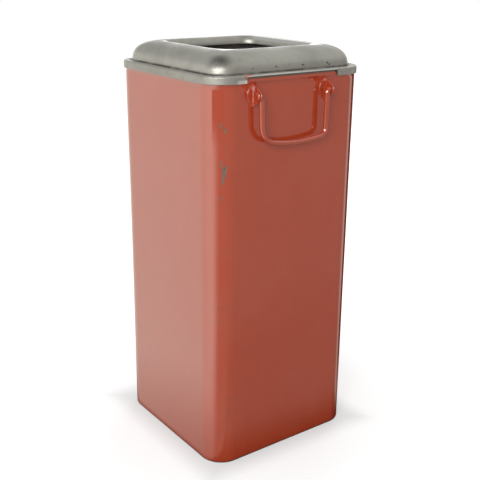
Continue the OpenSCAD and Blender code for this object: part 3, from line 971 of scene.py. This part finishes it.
# ---------------------------------------------------------------- finishes


class Recipe:
    """The node tree of a material or a world, built up line by line from named steps."""

    def __init__(self, owner, place="Object"):
        """Takes up the owner's tree, its main shader if it has one, and the named coordinates."""
        owner.use_nodes = True
        self.owner = owner
        self.tree = owner.node_tree
        self.shader = self.tree.nodes.get("Principled BSDF")
        self.place = self.node("TexCoord").outputs[place]

    def node(self, kind, inputs=None, **traits):
        """Adds a node, sets its traits, and links or sets its inputs by name or number."""
        made = self.tree.nodes.new("ShaderNode" + kind)
        for trait, value in traits.items():
            setattr(made, trait, value)
        for key, value in (inputs or {}).items():
            if isinstance(value, bpy.types.NodeSocket):
                self.tree.links.new(value, made.inputs[key])
            else:
                made.inputs[key].default_value = value
        return made

    def set(self, **values):
        """Links or sets the shader's own sockets; an underscore stands for a space."""
        for key, value in values.items():
            socket = self.shader.inputs[key.replace("_", " ")]
            if isinstance(value, bpy.types.NodeSocket):
                self.tree.links.new(value, socket)
            else:
                socket.default_value = value

    def stretch(self, scale, shift=(0, 0, 0), place=None, turn=(0, 0, 0)):
        """The coordinates, scaled by a factor along each axis."""
        inputs = {"Vector": place or self.place, "Scale": scale, "Location": shift, "Rotation": turn}
        return self.node("Mapping", inputs).outputs[0]

    def noise(self, scale, detail=3.0, rough=0.5, place=None, twist=0.0):
        """Noise from 0 to 1 with a mean of a half."""
        inputs = {"Vector": place or self.place, "Scale": scale, "Detail": detail, "Roughness": rough,
                  "Distortion": twist}
        return self.node("TexNoise", inputs).outputs["Fac"]

    def cells(self, scale, place=None, feature="F1"):
        """Cells: the distance to the nearest seed, and a random colour for each cell."""
        inputs = {"Vector": place or self.place, "Scale": scale}
        return self.node("TexVoronoi", inputs, feature=feature).outputs

    def fade(self, value, low, high, start=0.0, end=1.0):
        """A smooth step from start at low to end at high."""
        inputs = {"Value": value, "From Min": low, "From Max": high, "To Min": start, "To Max": end}
        return self.node("MapRange", inputs, interpolation_type="SMOOTHSTEP").outputs[0]

    def band(self, value, rise_from, rise_to, fall_from, fall_to):
        """1 between rise_to and fall_from, falling smoothly to 0 at rise_from and fall_to."""
        return self.times(self.fade(value, rise_from, rise_to), self.fade(value, fall_to, fall_from))

    def calc(self, operation, a, b=0.0):
        """One sum of two values."""
        return self.node("Math", {0: a, 1: b}, operation=operation, use_clamp=False).outputs[0]

    def along(self, direction, x, y):
        """How far x, y lie along a direction in plan: x * dx + y * dy."""
        return self.calc("ADD", self.times(x, direction[0]), self.times(y, direction[1]))

    def vector(self, operation, other=(0, 0, 0), place=None):
        """One number from the place and another vector, such as the distance between them."""
        made = self.node("VectorMath", {0: place or self.place, 1: other}, operation=operation)
        return made.outputs["Value"]

    def times(self, *values):
        """The product of all the values."""
        product = values[0]
        for value in values[1:]:
            product = self.calc("MULTIPLY", product, value)
        return product

    def most(self, *values):
        """The largest of the values."""
        largest = values[0]
        for value in values[1:]:
            largest = self.calc("MAXIMUM", largest, value)
        return largest

    def mix(self, factor, a, b):
        """A colour between a and b."""
        made = self.node("Mix", data_type="RGBA")
        for socket, value in ((made.inputs[0], factor), (made.inputs[6], a), (made.inputs[7], b)):
            if isinstance(value, bpy.types.NodeSocket):
                self.tree.links.new(value, socket)
            elif socket.type == "RGBA":
                socket.default_value = (*value, 1.0)
            else:
                socket.default_value = value
        return made.outputs[2]

    def axes(self, place=None):
        """The three coordinates."""
        return self.node("SeparateXYZ", {0: place or self.place}).outputs

    def bump(self, height, distance, strength=1.0, normal=None):
        """A normal from a height between 0 and 1 times a distance in metres."""
        inputs = {"Height": height, "Distance": distance, "Strength": strength}
        if normal:
            inputs["Normal"] = normal
        return self.node("Bump", inputs).outputs[0]


def enamel(name, worn=0.0):
    """Old red stoving enamel: faded in clouds, rubbed, scratched, and chipped where edges are knocked, with
    painted shade along the foot and under the lid's edge.

    worn adds bare patches all over, for the lugs and handles that hands and the lid rub.
    """
    c = settings().finish
    r = Recipe(bpy.data.materials.new(name))
    x, y, z = r.axes()
    clouds = r.noise(7.0, 5.0, 0.55)
    mottle = r.noise(38.0, 4.0, 0.6)
    runs = r.noise(1.0, 4.0, 0.6, r.stretch((46.0, 46.0, 3.2)), 0.3)
    colour = r.mix(r.fade(clouds, 0.42, 0.72, 0.0, 0.20), c.enamel, c.enamel_faded)
    colour = r.mix(r.fade(mottle, 0.52, 0.78, 0.0, 0.16), colour, c.enamel_deep)
    colour = r.mix(r.fade(runs, 0.56, 0.80, 0.0, 0.12), colour, c.enamel_faded)
    smudge = r.fade(r.noise(13.0, 6.0, 0.62, twist=0.8), 0.60, 0.76, 0.0, 0.14)
    colour = r.mix(smudge, colour, c.grime_and_shade)

    hair = r.noise(1.0, 2.0, 0.5, r.stretch((900.0, 900.0, 14.0), turn=(0.12, 0.2, 0.0)))
    cross = r.noise(1.0, 2.0, 0.5, r.stretch((30.0, 30.0, 1500.0), turn=(0.35, -0.3, 0.0)))
    patch = r.fade(r.noise(9.0, 2.0), 0.48, 0.62)
    scratch = r.times(r.most(r.fade(hair, 0.70, 0.75), r.fade(cross, 0.715, 0.76)), patch)
    colour = r.mix(r.times(scratch, 0.55), colour, c.enamel_faded)

    dots = r.cells(115.0)["Distance"]
    few = r.fade(r.noise(21.0, 2.0), 0.56, 0.66)
    low = r.fade(z, 0.30, 0.02, 0.25, 1.0)
    specks = r.times(r.fade(dots, 0.17, 0.10), few, low)

    apex = 2 * wall_half() - (2 - math.sqrt(2)) * settings().body.corner_radius
    diagonal = r.calc("ADD", r.calc("ABSOLUTE", x), r.calc("ABSOLUTE", y))
    corner = r.fade(diagonal, apex - 0.00653, apex - 0.00053)
    spread = r.noise(1.0, 5.0, 0.66, r.stretch((120.0, 120.0, 62.0)), 0.4)
    levels = r.noise(1.0, 1.0, 0.5, r.stretch((1.0, 1.0, 9.0)))
    height = r.most(r.fade(levels, 0.50, 0.62), r.fade(z, 0.10, 0.03))
    knocks = r.times(r.fade(spread, 0.625, 0.655), corner, height)
    lean = 0.55 * settings().body.corner_radius
    bruised = (BODY_LOW.x + lean - 0.002, BODY_LOW.y + lean - 0.014, 0.0)
    bruise = r.vector("DISTANCE", bruised, r.stretch((1.0, 1.0, 0.0)))
    run = r.noise(1.0, 4.0, 0.62, r.stretch((190.0, 190.0, 52.0)), 0.3)
    streak = r.band(z, 0.452, 0.462, 0.546, 0.556)
    knocks = r.most(knocks, r.times(r.fade(bruise, 0.0075, 0.0030), streak, r.fade(run, 0.545, 0.590)))
    top = BODY_HIGH.z
    hem = r.times(r.fade(z, top - 0.0020, top - 0.0005), r.fade(spread, 0.50, 0.56))
    foot = r.times(r.fade(z, 0.0050, 0.0015), r.fade(spread, 0.50, 0.60))
    chips = r.most(knocks, hem, foot, specks)
    if worn:
        rub = r.noise(210.0, 4.0, 0.62)
        chips = r.most(chips, r.fade(rub, 0.715 - 0.05 * worn, 0.745 - 0.05 * worn))
    undercoat = r.mix(r.most(r.fade(r.noise(260.0, 3.0), 0.50, 0.62, 0.0, 0.45), specks), c.primer, c.rust)
    colour = r.mix(chips, colour, undercoat)
    # Darker towards the foot: painted contact shade along the bottom edge.
    colour = r.mix(r.fade(z, 0.0036, 0.0014, 0.0, 0.75), colour, c.grime_and_shade)
    # A dark band at the top of the wall, just under the lid's edge: the lid's painted shadow.
    lid_edge_shadow = r.fade(z, top - 0.0053, top - 0.0037, 0.0, 0.85)
    colour = r.mix(r.times(lid_edge_shadow, r.fade(mottle, 0.25, 0.45, 0.7, 1.0)), colour, c.grime_and_shade)

    peel = r.noise(230.0, 2.0, 0.5)
    relief = r.bump(peel, 0.00003)
    relief = r.bump(r.calc("MULTIPLY", r.most(chips, r.times(scratch, 0.3)), -1.0), 0.00018, 1.0, relief)
    rough = r.most(r.fade(mottle, 0.3, 0.8, 0.36, 0.52), r.times(chips, 0.85))
    r.set(Base_Color=colour, Roughness=rough, Normal=relief,
          Coat_Weight=1.0, Coat_Roughness=0.07, Coat_IOR=2.0, Specular_IOR_Level=0.0)
    r.tree.links.new(r.bump(peel, 0.000012), r.shader.inputs["Coat Normal"])
    return r.owner


def aluminium(name, rim):
    """Pressed aluminium gone dull: cloudy oxide, fine rub marks along the form, dirt and painted shade in the
    groove, painted shade and highlights at the skirt and its gaps, and a painted dark reflection on the
    dome's corner.
    """
    c = settings().finish
    s = settings().lid
    r = Recipe(bpy.data.materials.new(name))
    x, y, z = r.axes()
    flow = r.node("UVMap", uv_map="around").outputs[0]
    clouds = r.noise(16.0, 6.0, 0.62, twist=0.5)
    blotch = r.noise(70.0, 5.0, 0.65)
    grain = r.noise(1.0, 3.0, 0.6, r.stretch((55.0, 2600.0, 1.0), place=flow))
    fine = r.noise(1.0, 2.0, 0.5, r.stretch((210.0, 5200.0, 1.0), place=flow))
    colour = r.mix(r.fade(clouds, 0.36, 0.70, 0.0, 0.7), c.aluminium, c.aluminium_dull)
    colour = r.mix(r.fade(blotch, 0.60, 0.80, 0.0, 0.30), colour, c.grime_and_shade)
    colour = r.mix(r.fade(grain, 0.50, 0.80, 0.0, 0.22), colour, c.aluminium_dull)

    inward = r.most(r.calc("ABSOLUTE", x), r.calc("ABSOLUTE", y))
    wall = wall_half()
    foot = wall - s.dome_inset
    flat = foot - s.foot_radius
    over_x = r.most(r.calc("SUBTRACT", r.calc("ABSOLUTE", x), flat), 0.0)
    over_y = r.most(r.calc("SUBTRACT", r.calc("ABSOLUTE", y), flat), 0.0)
    square = r.calc("ADD", r.times(over_x, over_x), r.times(over_y, over_y))
    outward = r.calc("ADD", r.calc("SQRT", square), flat)
    # Dark band in the groove at the dome's foot: dirt, and painted shade in the groove.
    near_foot = r.calc("ABSOLUTE", r.calc("SUBTRACT", outward, foot + 0.0016))
    low = r.fade(z, rim + 0.0030, rim + 0.0006)
    broken = r.fade(r.noise(45.0, 4.0, 0.6), 0.34, 0.58, 0.55, 1.0)
    dirt = r.times(r.fade(near_foot, 0.0030, 0.0012), low, broken)
    colour = r.mix(dirt, colour, c.grime_and_shade)
    # Skirt darkened a little all round as dirt, and most on the left where it faces the bright paper: there
    # it is painted shade damping the reflection.
    leftwards = r.fade(x, -wall + 0.022, -wall + 0.002, 0.15, 0.6)
    skirt = r.times(r.fade(z, rim - 0.0002, rim - 0.0022), leftwards)
    colour = r.mix(r.times(skirt, r.fade(blotch, 0.3, 0.7, 0.25, 0.50)), colour, c.grime_and_shade)
    downwards = r.fade(z, rim + 0.020, rim + 0.002, 0.15, 1.0)
    specks = r.times(r.fade(r.noise(260.0, 3.0, 0.6), 0.62, 0.70), downwards)
    colour = r.mix(r.times(specks, 0.45), colour, c.grime_and_shade)

    gap = s.notch_from
    smear_x = r.band(x, gap - 0.0049, gap - 0.0019, gap + 0.0086, gap + 0.0116)
    smear_y = r.fade(y, -wall + 0.0040, -wall + 0.0015)
    smear = r.times(smear_x, smear_y, r.fade(r.noise(330.0, 4.0, 0.6), 0.40, 0.50))
    colour = r.mix(r.times(smear, 0.9), colour, c.enamel)

    # Near-white on the rim's edge over the gaps, the skirt's curled ends and the mouth's lip: painted
    # highlights; on the lip also real polish, with more metal and less roughness.
    front = r.fade(y, -wall + 0.004, -wall + 0.001)
    along = r.band(x, gap - 0.001, gap, s.notch_to, s.notch_to + 0.001)
    curled_end_highlight = r.times(r.band(x, gap - 0.020, gap - 0.012, gap, gap + 0.001),
                     r.fade(z, rim - 0.0055, rim - 0.0075))
    edge = r.times(along, r.fade(z, rim - 0.0004, rim - 0.0010, 0.0, 0.45))
    bare = r.times(front, r.most(edge, r.times(curled_end_highlight, 0.7)))
    lip = wall - s.dome_inset - s.dome_run
    upper = r.fade(z, LID_HIGH.z - 0.007, LID_HIGH.z - 0.003)
    polished_lip_highlight = r.times(r.fade(inward, lip + 0.0025, lip + 0.0005), upper, r.fade(y, 0.085, 0.070))
    bare = r.most(bare, polished_lip_highlight)
    colour = r.mix(r.times(bare, 0.85), colour, ALUMINIUM_HIGHLIGHT)
    # Dark line along the lower edge of the rim over each gap: painted shadow between lid and hem.
    under = r.times(front, along, r.fade(z, rim - 0.0021, rim - 0.0026))
    colour = r.mix(r.times(under, 0.9), colour, c.grime_and_shade)

    # A dark blotch on the dome's front corner above the key light's highlight: a painted dark reflection.
    corner = (-wall + 0.020, -wall + 0.020, rim + 0.0245)
    patch_noise = r.fade(r.noise(60.0, 3.0), 0.30, 0.60, 0.6, 1.0)
    dark_reflection_patch = r.times(r.fade(r.vector("DISTANCE", corner), 0.026, 0.005), patch_noise)
    colour = r.mix(r.times(dark_reflection_patch, 0.95), colour, c.grime_and_shade)

    hair = r.noise(1.0, 2.0, 0.5, r.stretch((700.0, 18.0, 60.0), turn=(0.0, 0.0, 0.5)))
    marks = r.times(r.fade(hair, 0.70, 0.75), r.fade(r.noise(24.0, 2.0), 0.50, 0.62))
    rough = r.calc("ADD", r.fade(clouds, 0.3, 0.7, 0.33, 0.45), r.fade(grain, 0.3, 0.8, -0.04, 0.08))
    rough = r.most(rough, r.times(r.most(dirt, smear, skirt), 0.58))
    rough = r.calc("SUBTRACT", rough, r.times(bare, 0.18))
    relief = r.bump(grain, 0.000010)
    relief = r.bump(fine, 0.000006, 1.0, relief)
    relief = r.bump(r.times(marks, -1.0), 0.00003, 1.0, relief)
    covered = r.most(r.times(smear, 0.60), r.times(dirt, 0.4), r.times(dark_reflection_patch, 0.3), r.times(skirt, 0.25))
    metal = r.calc("ADD", r.calc("SUBTRACT", 0.60, covered), r.times(polished_lip_highlight, 0.35))
    r.set(Base_Color=colour, Metallic=metal, Roughness=rough, Normal=relief,
          Anisotropic=0.25, Specular_IOR_Level=0.3)
    return r.owner


def galvanised(name):
    """Hot-dip zinc: large frosty crystals of varied tone, with white bloom and ash stains."""
    c = settings().finish
    r = Recipe(bpy.data.materials.new(name))
    drift = r.node("TexNoise", {"Vector": r.place, "Scale": 60.0, "Detail": 2.0}).outputs["Color"]
    small = r.node("VectorMath", {0: drift, 1: (0.012, 0.012, 0.012)}, operation="MULTIPLY").outputs[0]
    bent = r.node("VectorMath", {0: r.place, 1: small}, operation="ADD").outputs[0]
    tone = r.axes(r.cells(62.0, bent)["Color"])[0]
    edge = r.cells(62.0, bent, "DISTANCE_TO_EDGE")["Distance"]
    colour = r.mix(r.fade(tone, 0.1, 0.9), c.zinc_dark, c.zinc)
    bloom = r.fade(r.noise(11.0, 5.0, 0.6), 0.50, 0.72, 0.0, 0.5)
    colour = r.mix(bloom, colour, ZINC_BLOOM)
    ash = r.fade(r.noise(8.0, 6.0, 0.65, twist=0.6), 0.46, 0.80, 0.0, 0.45)
    colour = r.mix(ash, colour, c.grime_and_shade)
    rust = r.fade(r.noise(34.0, 5.0, 0.65), 0.66, 0.74, 0.0, 0.8)
    colour = r.mix(rust, colour, c.rust)
    rough = r.most(r.fade(tone, 0.0, 1.0, 0.34, 0.50), r.times(r.most(ash, rust, bloom), 0.8))
    relief = r.bump(r.fade(edge, 0.0, 0.06), 0.00002)
    relief = r.bump(r.noise(420.0, 3.0), 0.00002, 1.0, relief)
    metal = r.calc("SUBTRACT", 0.75, r.most(r.times(rust, 0.75), r.times(r.most(ash, bloom), 0.5)))
    r.set(Base_Color=colour, Metallic=metal, Roughness=rough, Normal=relief)
    return r.owner


# ---------------------------------------------------------------- studio


def shown_or_lit(tree, seen, lit):
    """Mixes two shaders: one for what the camera sees directly, one for every other ray."""
    path = tree.nodes.new("ShaderNodeLightPath")
    mix = tree.nodes.new("ShaderNodeMixShader")
    tree.links.new(path.outputs["Is Camera Ray"], mix.inputs[0])
    tree.links.new(lit, mix.inputs[1])
    tree.links.new(seen, mix.inputs[2])
    return mix.outputs[0]


def power(name, description, default):
    """A lamp's power, in watts."""
    return plain(name, description + ", in watts", default, 0.0, 2000.0)


def glow(name, description, default):
    """A brightness that only gloss sees."""
    return plain(name, description + ", as gloss sees it", default, 0.0, 20.0)


class ASHTRAY_BIN_OT_stage(bpy.types.Operator):
    """Set up the pale floor, the soft studio light and the camera."""

    bl_idname = "ashtray_bin.stage"
    bl_label = "Studio"

    key_power: power("Key", "Power of the large soft light beside the camera", 43.5)
    top_power: power("Top", "Power of the soft light overhead", 14.0)
    fill_power: power("Fill", "Power of the soft light behind and to the right", 22.0)
    card_power: power("Card", "Power of the light at the left that only gloss sees", 24.0)
    side_glow: glow("Side glow", "Brightness of the lit paper beyond the left side", 1.40)
    front_glow: glow("Front glow", "Brightness of the paper in front and to the right", 0.40)
    back_glow: glow("Back glow", "Brightness of the backdrop behind the bin", 2.3)
    sky_glow: glow("Sky glow", "Brightness of the room above", 0.54)
    studio_glow: glow("Room glow", "Brightness of the room beyond the paper's near edge", 0.30)

    def execute(self, context):
        """Makes the floor, the sky, the lights and the camera."""
        scene = context.scene
        scene.view_settings.view_transform = "Standard"
        self.floor()
        self.sky(scene)
        for lamp in (
            ("key_light", (-1.75, -1.60, 1.35), 0.33, 1.3, self.key_power, True, True),
            ("top_light", (-0.3, 0.3, 2.4), 0.30, 1.8, self.top_power, True, False),
            ("fill_light", (1.9, 1.5, 1.3), 0.33, 1.6, self.fill_power, True, False),
            ("gloss_card", (-2.10, -0.85, 1.10), 0.60, 0.9, self.card_power, False, True),
        ):
            self.soft_light(*lamp)
        self.camera(scene)
        return {"FINISHED"}

    def floor(self):
        """A wide floor that shows white with a painted contact shadow round the bin, and whose brightness for
        gloss varies from place to place.

        Gloss sees it bright on the left, dim beyond the paper's near edge, dark along a wedge at the
        right, and shaded near the foot. The wedge is what the right-hand corner reflects at its
        outline, so that it draws a dark edge there.
        """
        half = settings().stage.floor_size
        floor = add_mesh("studio_floor", np.append(CORNERS * half, np.zeros((4, 1)), 1), [[2, 3, 0, 1]])
        r = Recipe(bpy.data.materials.new("studio_paper"))
        r.tree.nodes.remove(r.shader)
        x, y, _ = r.axes()
        far = r.vector("LENGTH")
        reach = r.most(r.calc("ABSOLUTE", x), r.calc("ABSOLUTE", y))
        beside = r.fade(x, BODY_LOW.x + 0.010, BODY_LOW.x - 0.010)
        touch = r.most(r.fade(reach, BODY_HIGH.x - 0.020, BODY_HIGH.x + 0.110), beside)
        near = r.most(r.fade(far, 0.22, 1.10, 0.72, 1.0), beside)
        strength = r.times(self.paper_glow(r, x, y, far), near, touch)
        lit = r.node("Emission", {"Color": WARM_WHITE, "Strength": strength}).outputs[0]
        grain = r.mix(r.fade(r.noise(900.0, 3.0), 0.3, 0.7), settings().finish.floor, PAPER_GRAIN)
        # The camera sees the floor dimmed round the bin and most at its foot: a painted contact shadow.
        shade = r.fade(reach, BODY_HIGH.x - 0.006, BODY_HIGH.x + 0.050, 0.62, 1.0)
        seen = self.matt(r, grain, r.times(r.fade(far, 0.20, 0.65, 0.62, 1.0), shade))
        soft = self.matt(r, SOFT_GREY, r.times(touch, 0.26))
        glossy = r.node("LightPath").outputs["Is Glossy Ray"]
        other = r.node("MixShader", {0: glossy, 1: soft, 2: lit}).outputs[0]
        r.tree.links.new(shown_or_lit(r.tree, seen, other), r.tree.nodes["Material Output"].inputs["Surface"])
        floor.data.materials.append(r.owner)

    def matt(self, r, colour, strength):
        """A matt surface of a colour, with a glow of its own added."""
        surface = r.node("BsdfDiffuse", {"Color": colour}).outputs[0]
        shine = r.node("Emission", {"Strength": strength}).outputs[0]
        return r.node("AddShader", {0: surface, 1: shine}).outputs[0]

    def bearing(self, r, up, across):
        """The angle in radians whose tangent is up / across."""
        return r.calc("ARCTAN2", up, across)

    def paper_glow(self, r, x, y, far):
        """How bright gloss sees each place of the paper.

        The glow steps up from front to side brightness towards the left. Round the near-left corner
        it grows by bearing and falls off at the near side, and the room beyond the paper's edge takes
        its place there. Round the near-right corner it rises by 0.7 along the front wall's bearing
        and falls to a twentieth inside the wedge beside it.
        """
        glow = r.fade(r.along(TOWARDS_PAPER, x, y), -0.05, 0.40, self.front_glow, self.side_glow)
        left = self.bearing(r, r.calc("SUBTRACT", BODY_LOW.y + 0.020, y),
                            r.calc("SUBTRACT", BODY_LOW.x + 0.006, x))
        brighter = r.calc("SUBTRACT", r.times(glow, r.fade(left, -0.80, 0.05, 1.0, 1.16)), self.front_glow)
        glow = r.calc("ADD", r.times(brighter, r.fade(left, 0.84, 0.12)), self.front_glow)

        right = self.bearing(r, r.calc("SUBTRACT", y, BODY_LOW.y + 0.013),
                             r.calc("SUBTRACT", x, BODY_HIGH.x - 0.011))
        glow = r.calc("ADD", glow, r.times(r.band(right, -0.45, -0.20, -0.06, 0.00), 0.7))
        wedge = r.times(r.band(right, -0.02, 0.06, 0.92, 1.02), r.fade(far, 0.18, 0.45))
        glow = r.times(glow, r.fade(wedge, 0.0, 1.0, 1.0, 0.05))

        room = r.times(r.band(left, 0.14, 0.25, 1.04, 1.24), r.fade(far, 2.35, 3.30))
        return r.calc("ADD", r.times(glow, r.calc("SUBTRACT", 1.0, room)), r.times(room, self.studio_glow))

    def sky(self, scene):
        """White for the camera and an even grey for soft light.

        For gloss it is a band near the horizon, bright behind and at the left, under a dimmer room
        that brightens to the right. gloss = band * low + room * (1 - low), dimmed to a twentieth in
        a patch above the lights at the left.
        """
        scene.world = bpy.data.worlds.new("studio")
        r = Recipe(scene.world, "Generated")
        x, y, z = r.axes()
        behind = r.along(TOWARDS_BACKDROP, x, y)
        beside = r.along(TOWARDS_PAPER, x, y)
        band = r.most(r.fade(beside, 0.50, 0.80, self.front_glow, self.side_glow),
                      r.fade(behind, 0.30, 0.90, 0.0, self.back_glow))
        low = r.fade(z, 0.36, 0.14)
        room = r.fade(x, 0.10, 0.70, self.sky_glow, 2.0 * self.sky_glow)
        gloss = r.calc("ADD", r.times(band, low), r.times(r.calc("SUBTRACT", 1.0, low), room))
        facing = r.vector("DOT_PRODUCT", (-0.60, -0.28, 0.75))
        gloss = r.times(gloss, r.fade(facing, 0.88, 0.97, 1.0, 0.05))
        glossy = r.node("LightPath").outputs["Is Glossy Ray"]
        even = r.times(r.calc("SUBTRACT", 1.0, glossy), settings().stage.ambient)
        lit = r.node("Background", {"Strength": r.calc("ADD", r.times(glossy, gloss), even)}).outputs[0]
        seen = r.node("Background", {"Color": WHITE, "Strength": 1.0}).outputs[0]
        r.tree.links.new(shown_or_lit(r.tree, seen, lit), r.tree.nodes["World Output"].inputs["Surface"])

    def soft_light(self, name, place, aim_height, size, power, matt, glossy):
        """A large square light aimed at a height over the origin, for matt or glossy rays as asked."""
        light = bpy.data.lights.new(name, "AREA")
        light.size = size
        light.energy = power
        lamp = bpy.data.objects.new(name, light)
        lamp.location = place
        aim = Vector((0, 0, aim_height)) - Vector(place)
        lamp.rotation_euler = aim.to_track_quat("-Z", "Y").to_euler()
        lamp.visible_camera = False
        lamp.visible_diffuse = matt
        lamp.visible_glossy = glossy
        bpy.context.scene.collection.objects.link(lamp)

    def camera(self, scene):
        """The camera, placed round its target by its azimuth, elevation and distance, then rolled."""
        s = settings().stage
        cos_a, sin_a = math.cos(s.azimuth), math.sin(s.azimuth)
        cos_e, sin_e = math.cos(s.elevation), math.sin(s.elevation)
        back = Vector((sin_a * cos_e, -cos_a * cos_e, sin_e))
        right = Vector((cos_a, sin_a, 0.0))
        up = right.cross(-back)
        cos_r, sin_r = math.cos(s.roll), math.sin(s.roll)
        level = right * cos_r + up * sin_r
        upright = up * cos_r - right * sin_r
        place = right * s.target_side + Vector((0, 0, s.target_height)) + back * s.distance
        lens = bpy.data.cameras.new("camera")
        lens.lens, lens.sensor_width, lens.clip_end = s.lens, 36.0, 60.0
        camera = bpy.data.objects.new("camera", lens)
        turn = Matrix((level, upright, back)).transposed().to_4x4()
        camera.matrix_world = Matrix.Translation(place) @ turn
        scene.collection.objects.link(camera)
        scene.camera = camera


# ---------------------------------------------------------------- panel and running


OPERATORS = [
    ASHTRAY_BIN_OT_body,
    ASHTRAY_BIN_OT_lugs,
    ASHTRAY_BIN_OT_handles,
    ASHTRAY_BIN_OT_lid,
    ASHTRAY_BIN_OT_liner,
    ASHTRAY_BIN_OT_grips,
    ASHTRAY_BIN_OT_stage,
]


class AshtrayBinSettings(bpy.types.PropertyGroup):
    """All the sizes, colours and studio settings of the bin."""

    body: bpy.props.PointerProperty(type=BodySizes)
    lid: bpy.props.PointerProperty(type=LidSizes)
    handle: bpy.props.PointerProperty(type=HandleSizes)
    liner: bpy.props.PointerProperty(type=LinerSizes)
    finish: bpy.props.PointerProperty(type=FinishColours)
    stage: bpy.props.PointerProperty(type=StageSettings)


class VIEW3D_PT_ashtray_bin(bpy.types.Panel):
    """Lists the bin's building steps and its settings."""

    bl_label = "Ashtray bin"
    bl_space_type = "VIEW_3D"
    bl_region_type = "UI"
    bl_category = "Ashtray bin"

    def draw(self, context):
        """Draws a button for each step and the settings under it."""
        for operator in OPERATORS:
            self.layout.operator(operator.bl_idname)
        shown = context.scene.ashtray_bin
        for name, group in GROUPS.items():
            box = self.layout.box()
            box.label(text=group.__doc__)
            for item in group.__annotations__:
                box.prop(getattr(shown, name), item)


CLASSES = [*GROUPS.values(), AshtrayBinSettings, *OPERATORS, VIEW3D_PT_ashtray_bin]


def register():
    """Registers the classes and hangs the settings on the scene."""
    for entry in CLASSES:
        bpy.utils.register_class(entry)
    bpy.types.Scene.ashtray_bin = bpy.props.PointerProperty(type=AshtrayBinSettings)


def unregister():
    """Takes the settings and the classes away again."""
    del bpy.types.Scene.ashtray_bin
    for entry in reversed(CLASSES):
        bpy.utils.unregister_class(entry)


def main():
    """Builds the whole bin in order."""
    register()
    for operator in OPERATORS:
        group, name = operator.bl_idname.split(".")
        getattr(getattr(bpy.ops, group), name)()


if __name__ == "__main__":
    main()
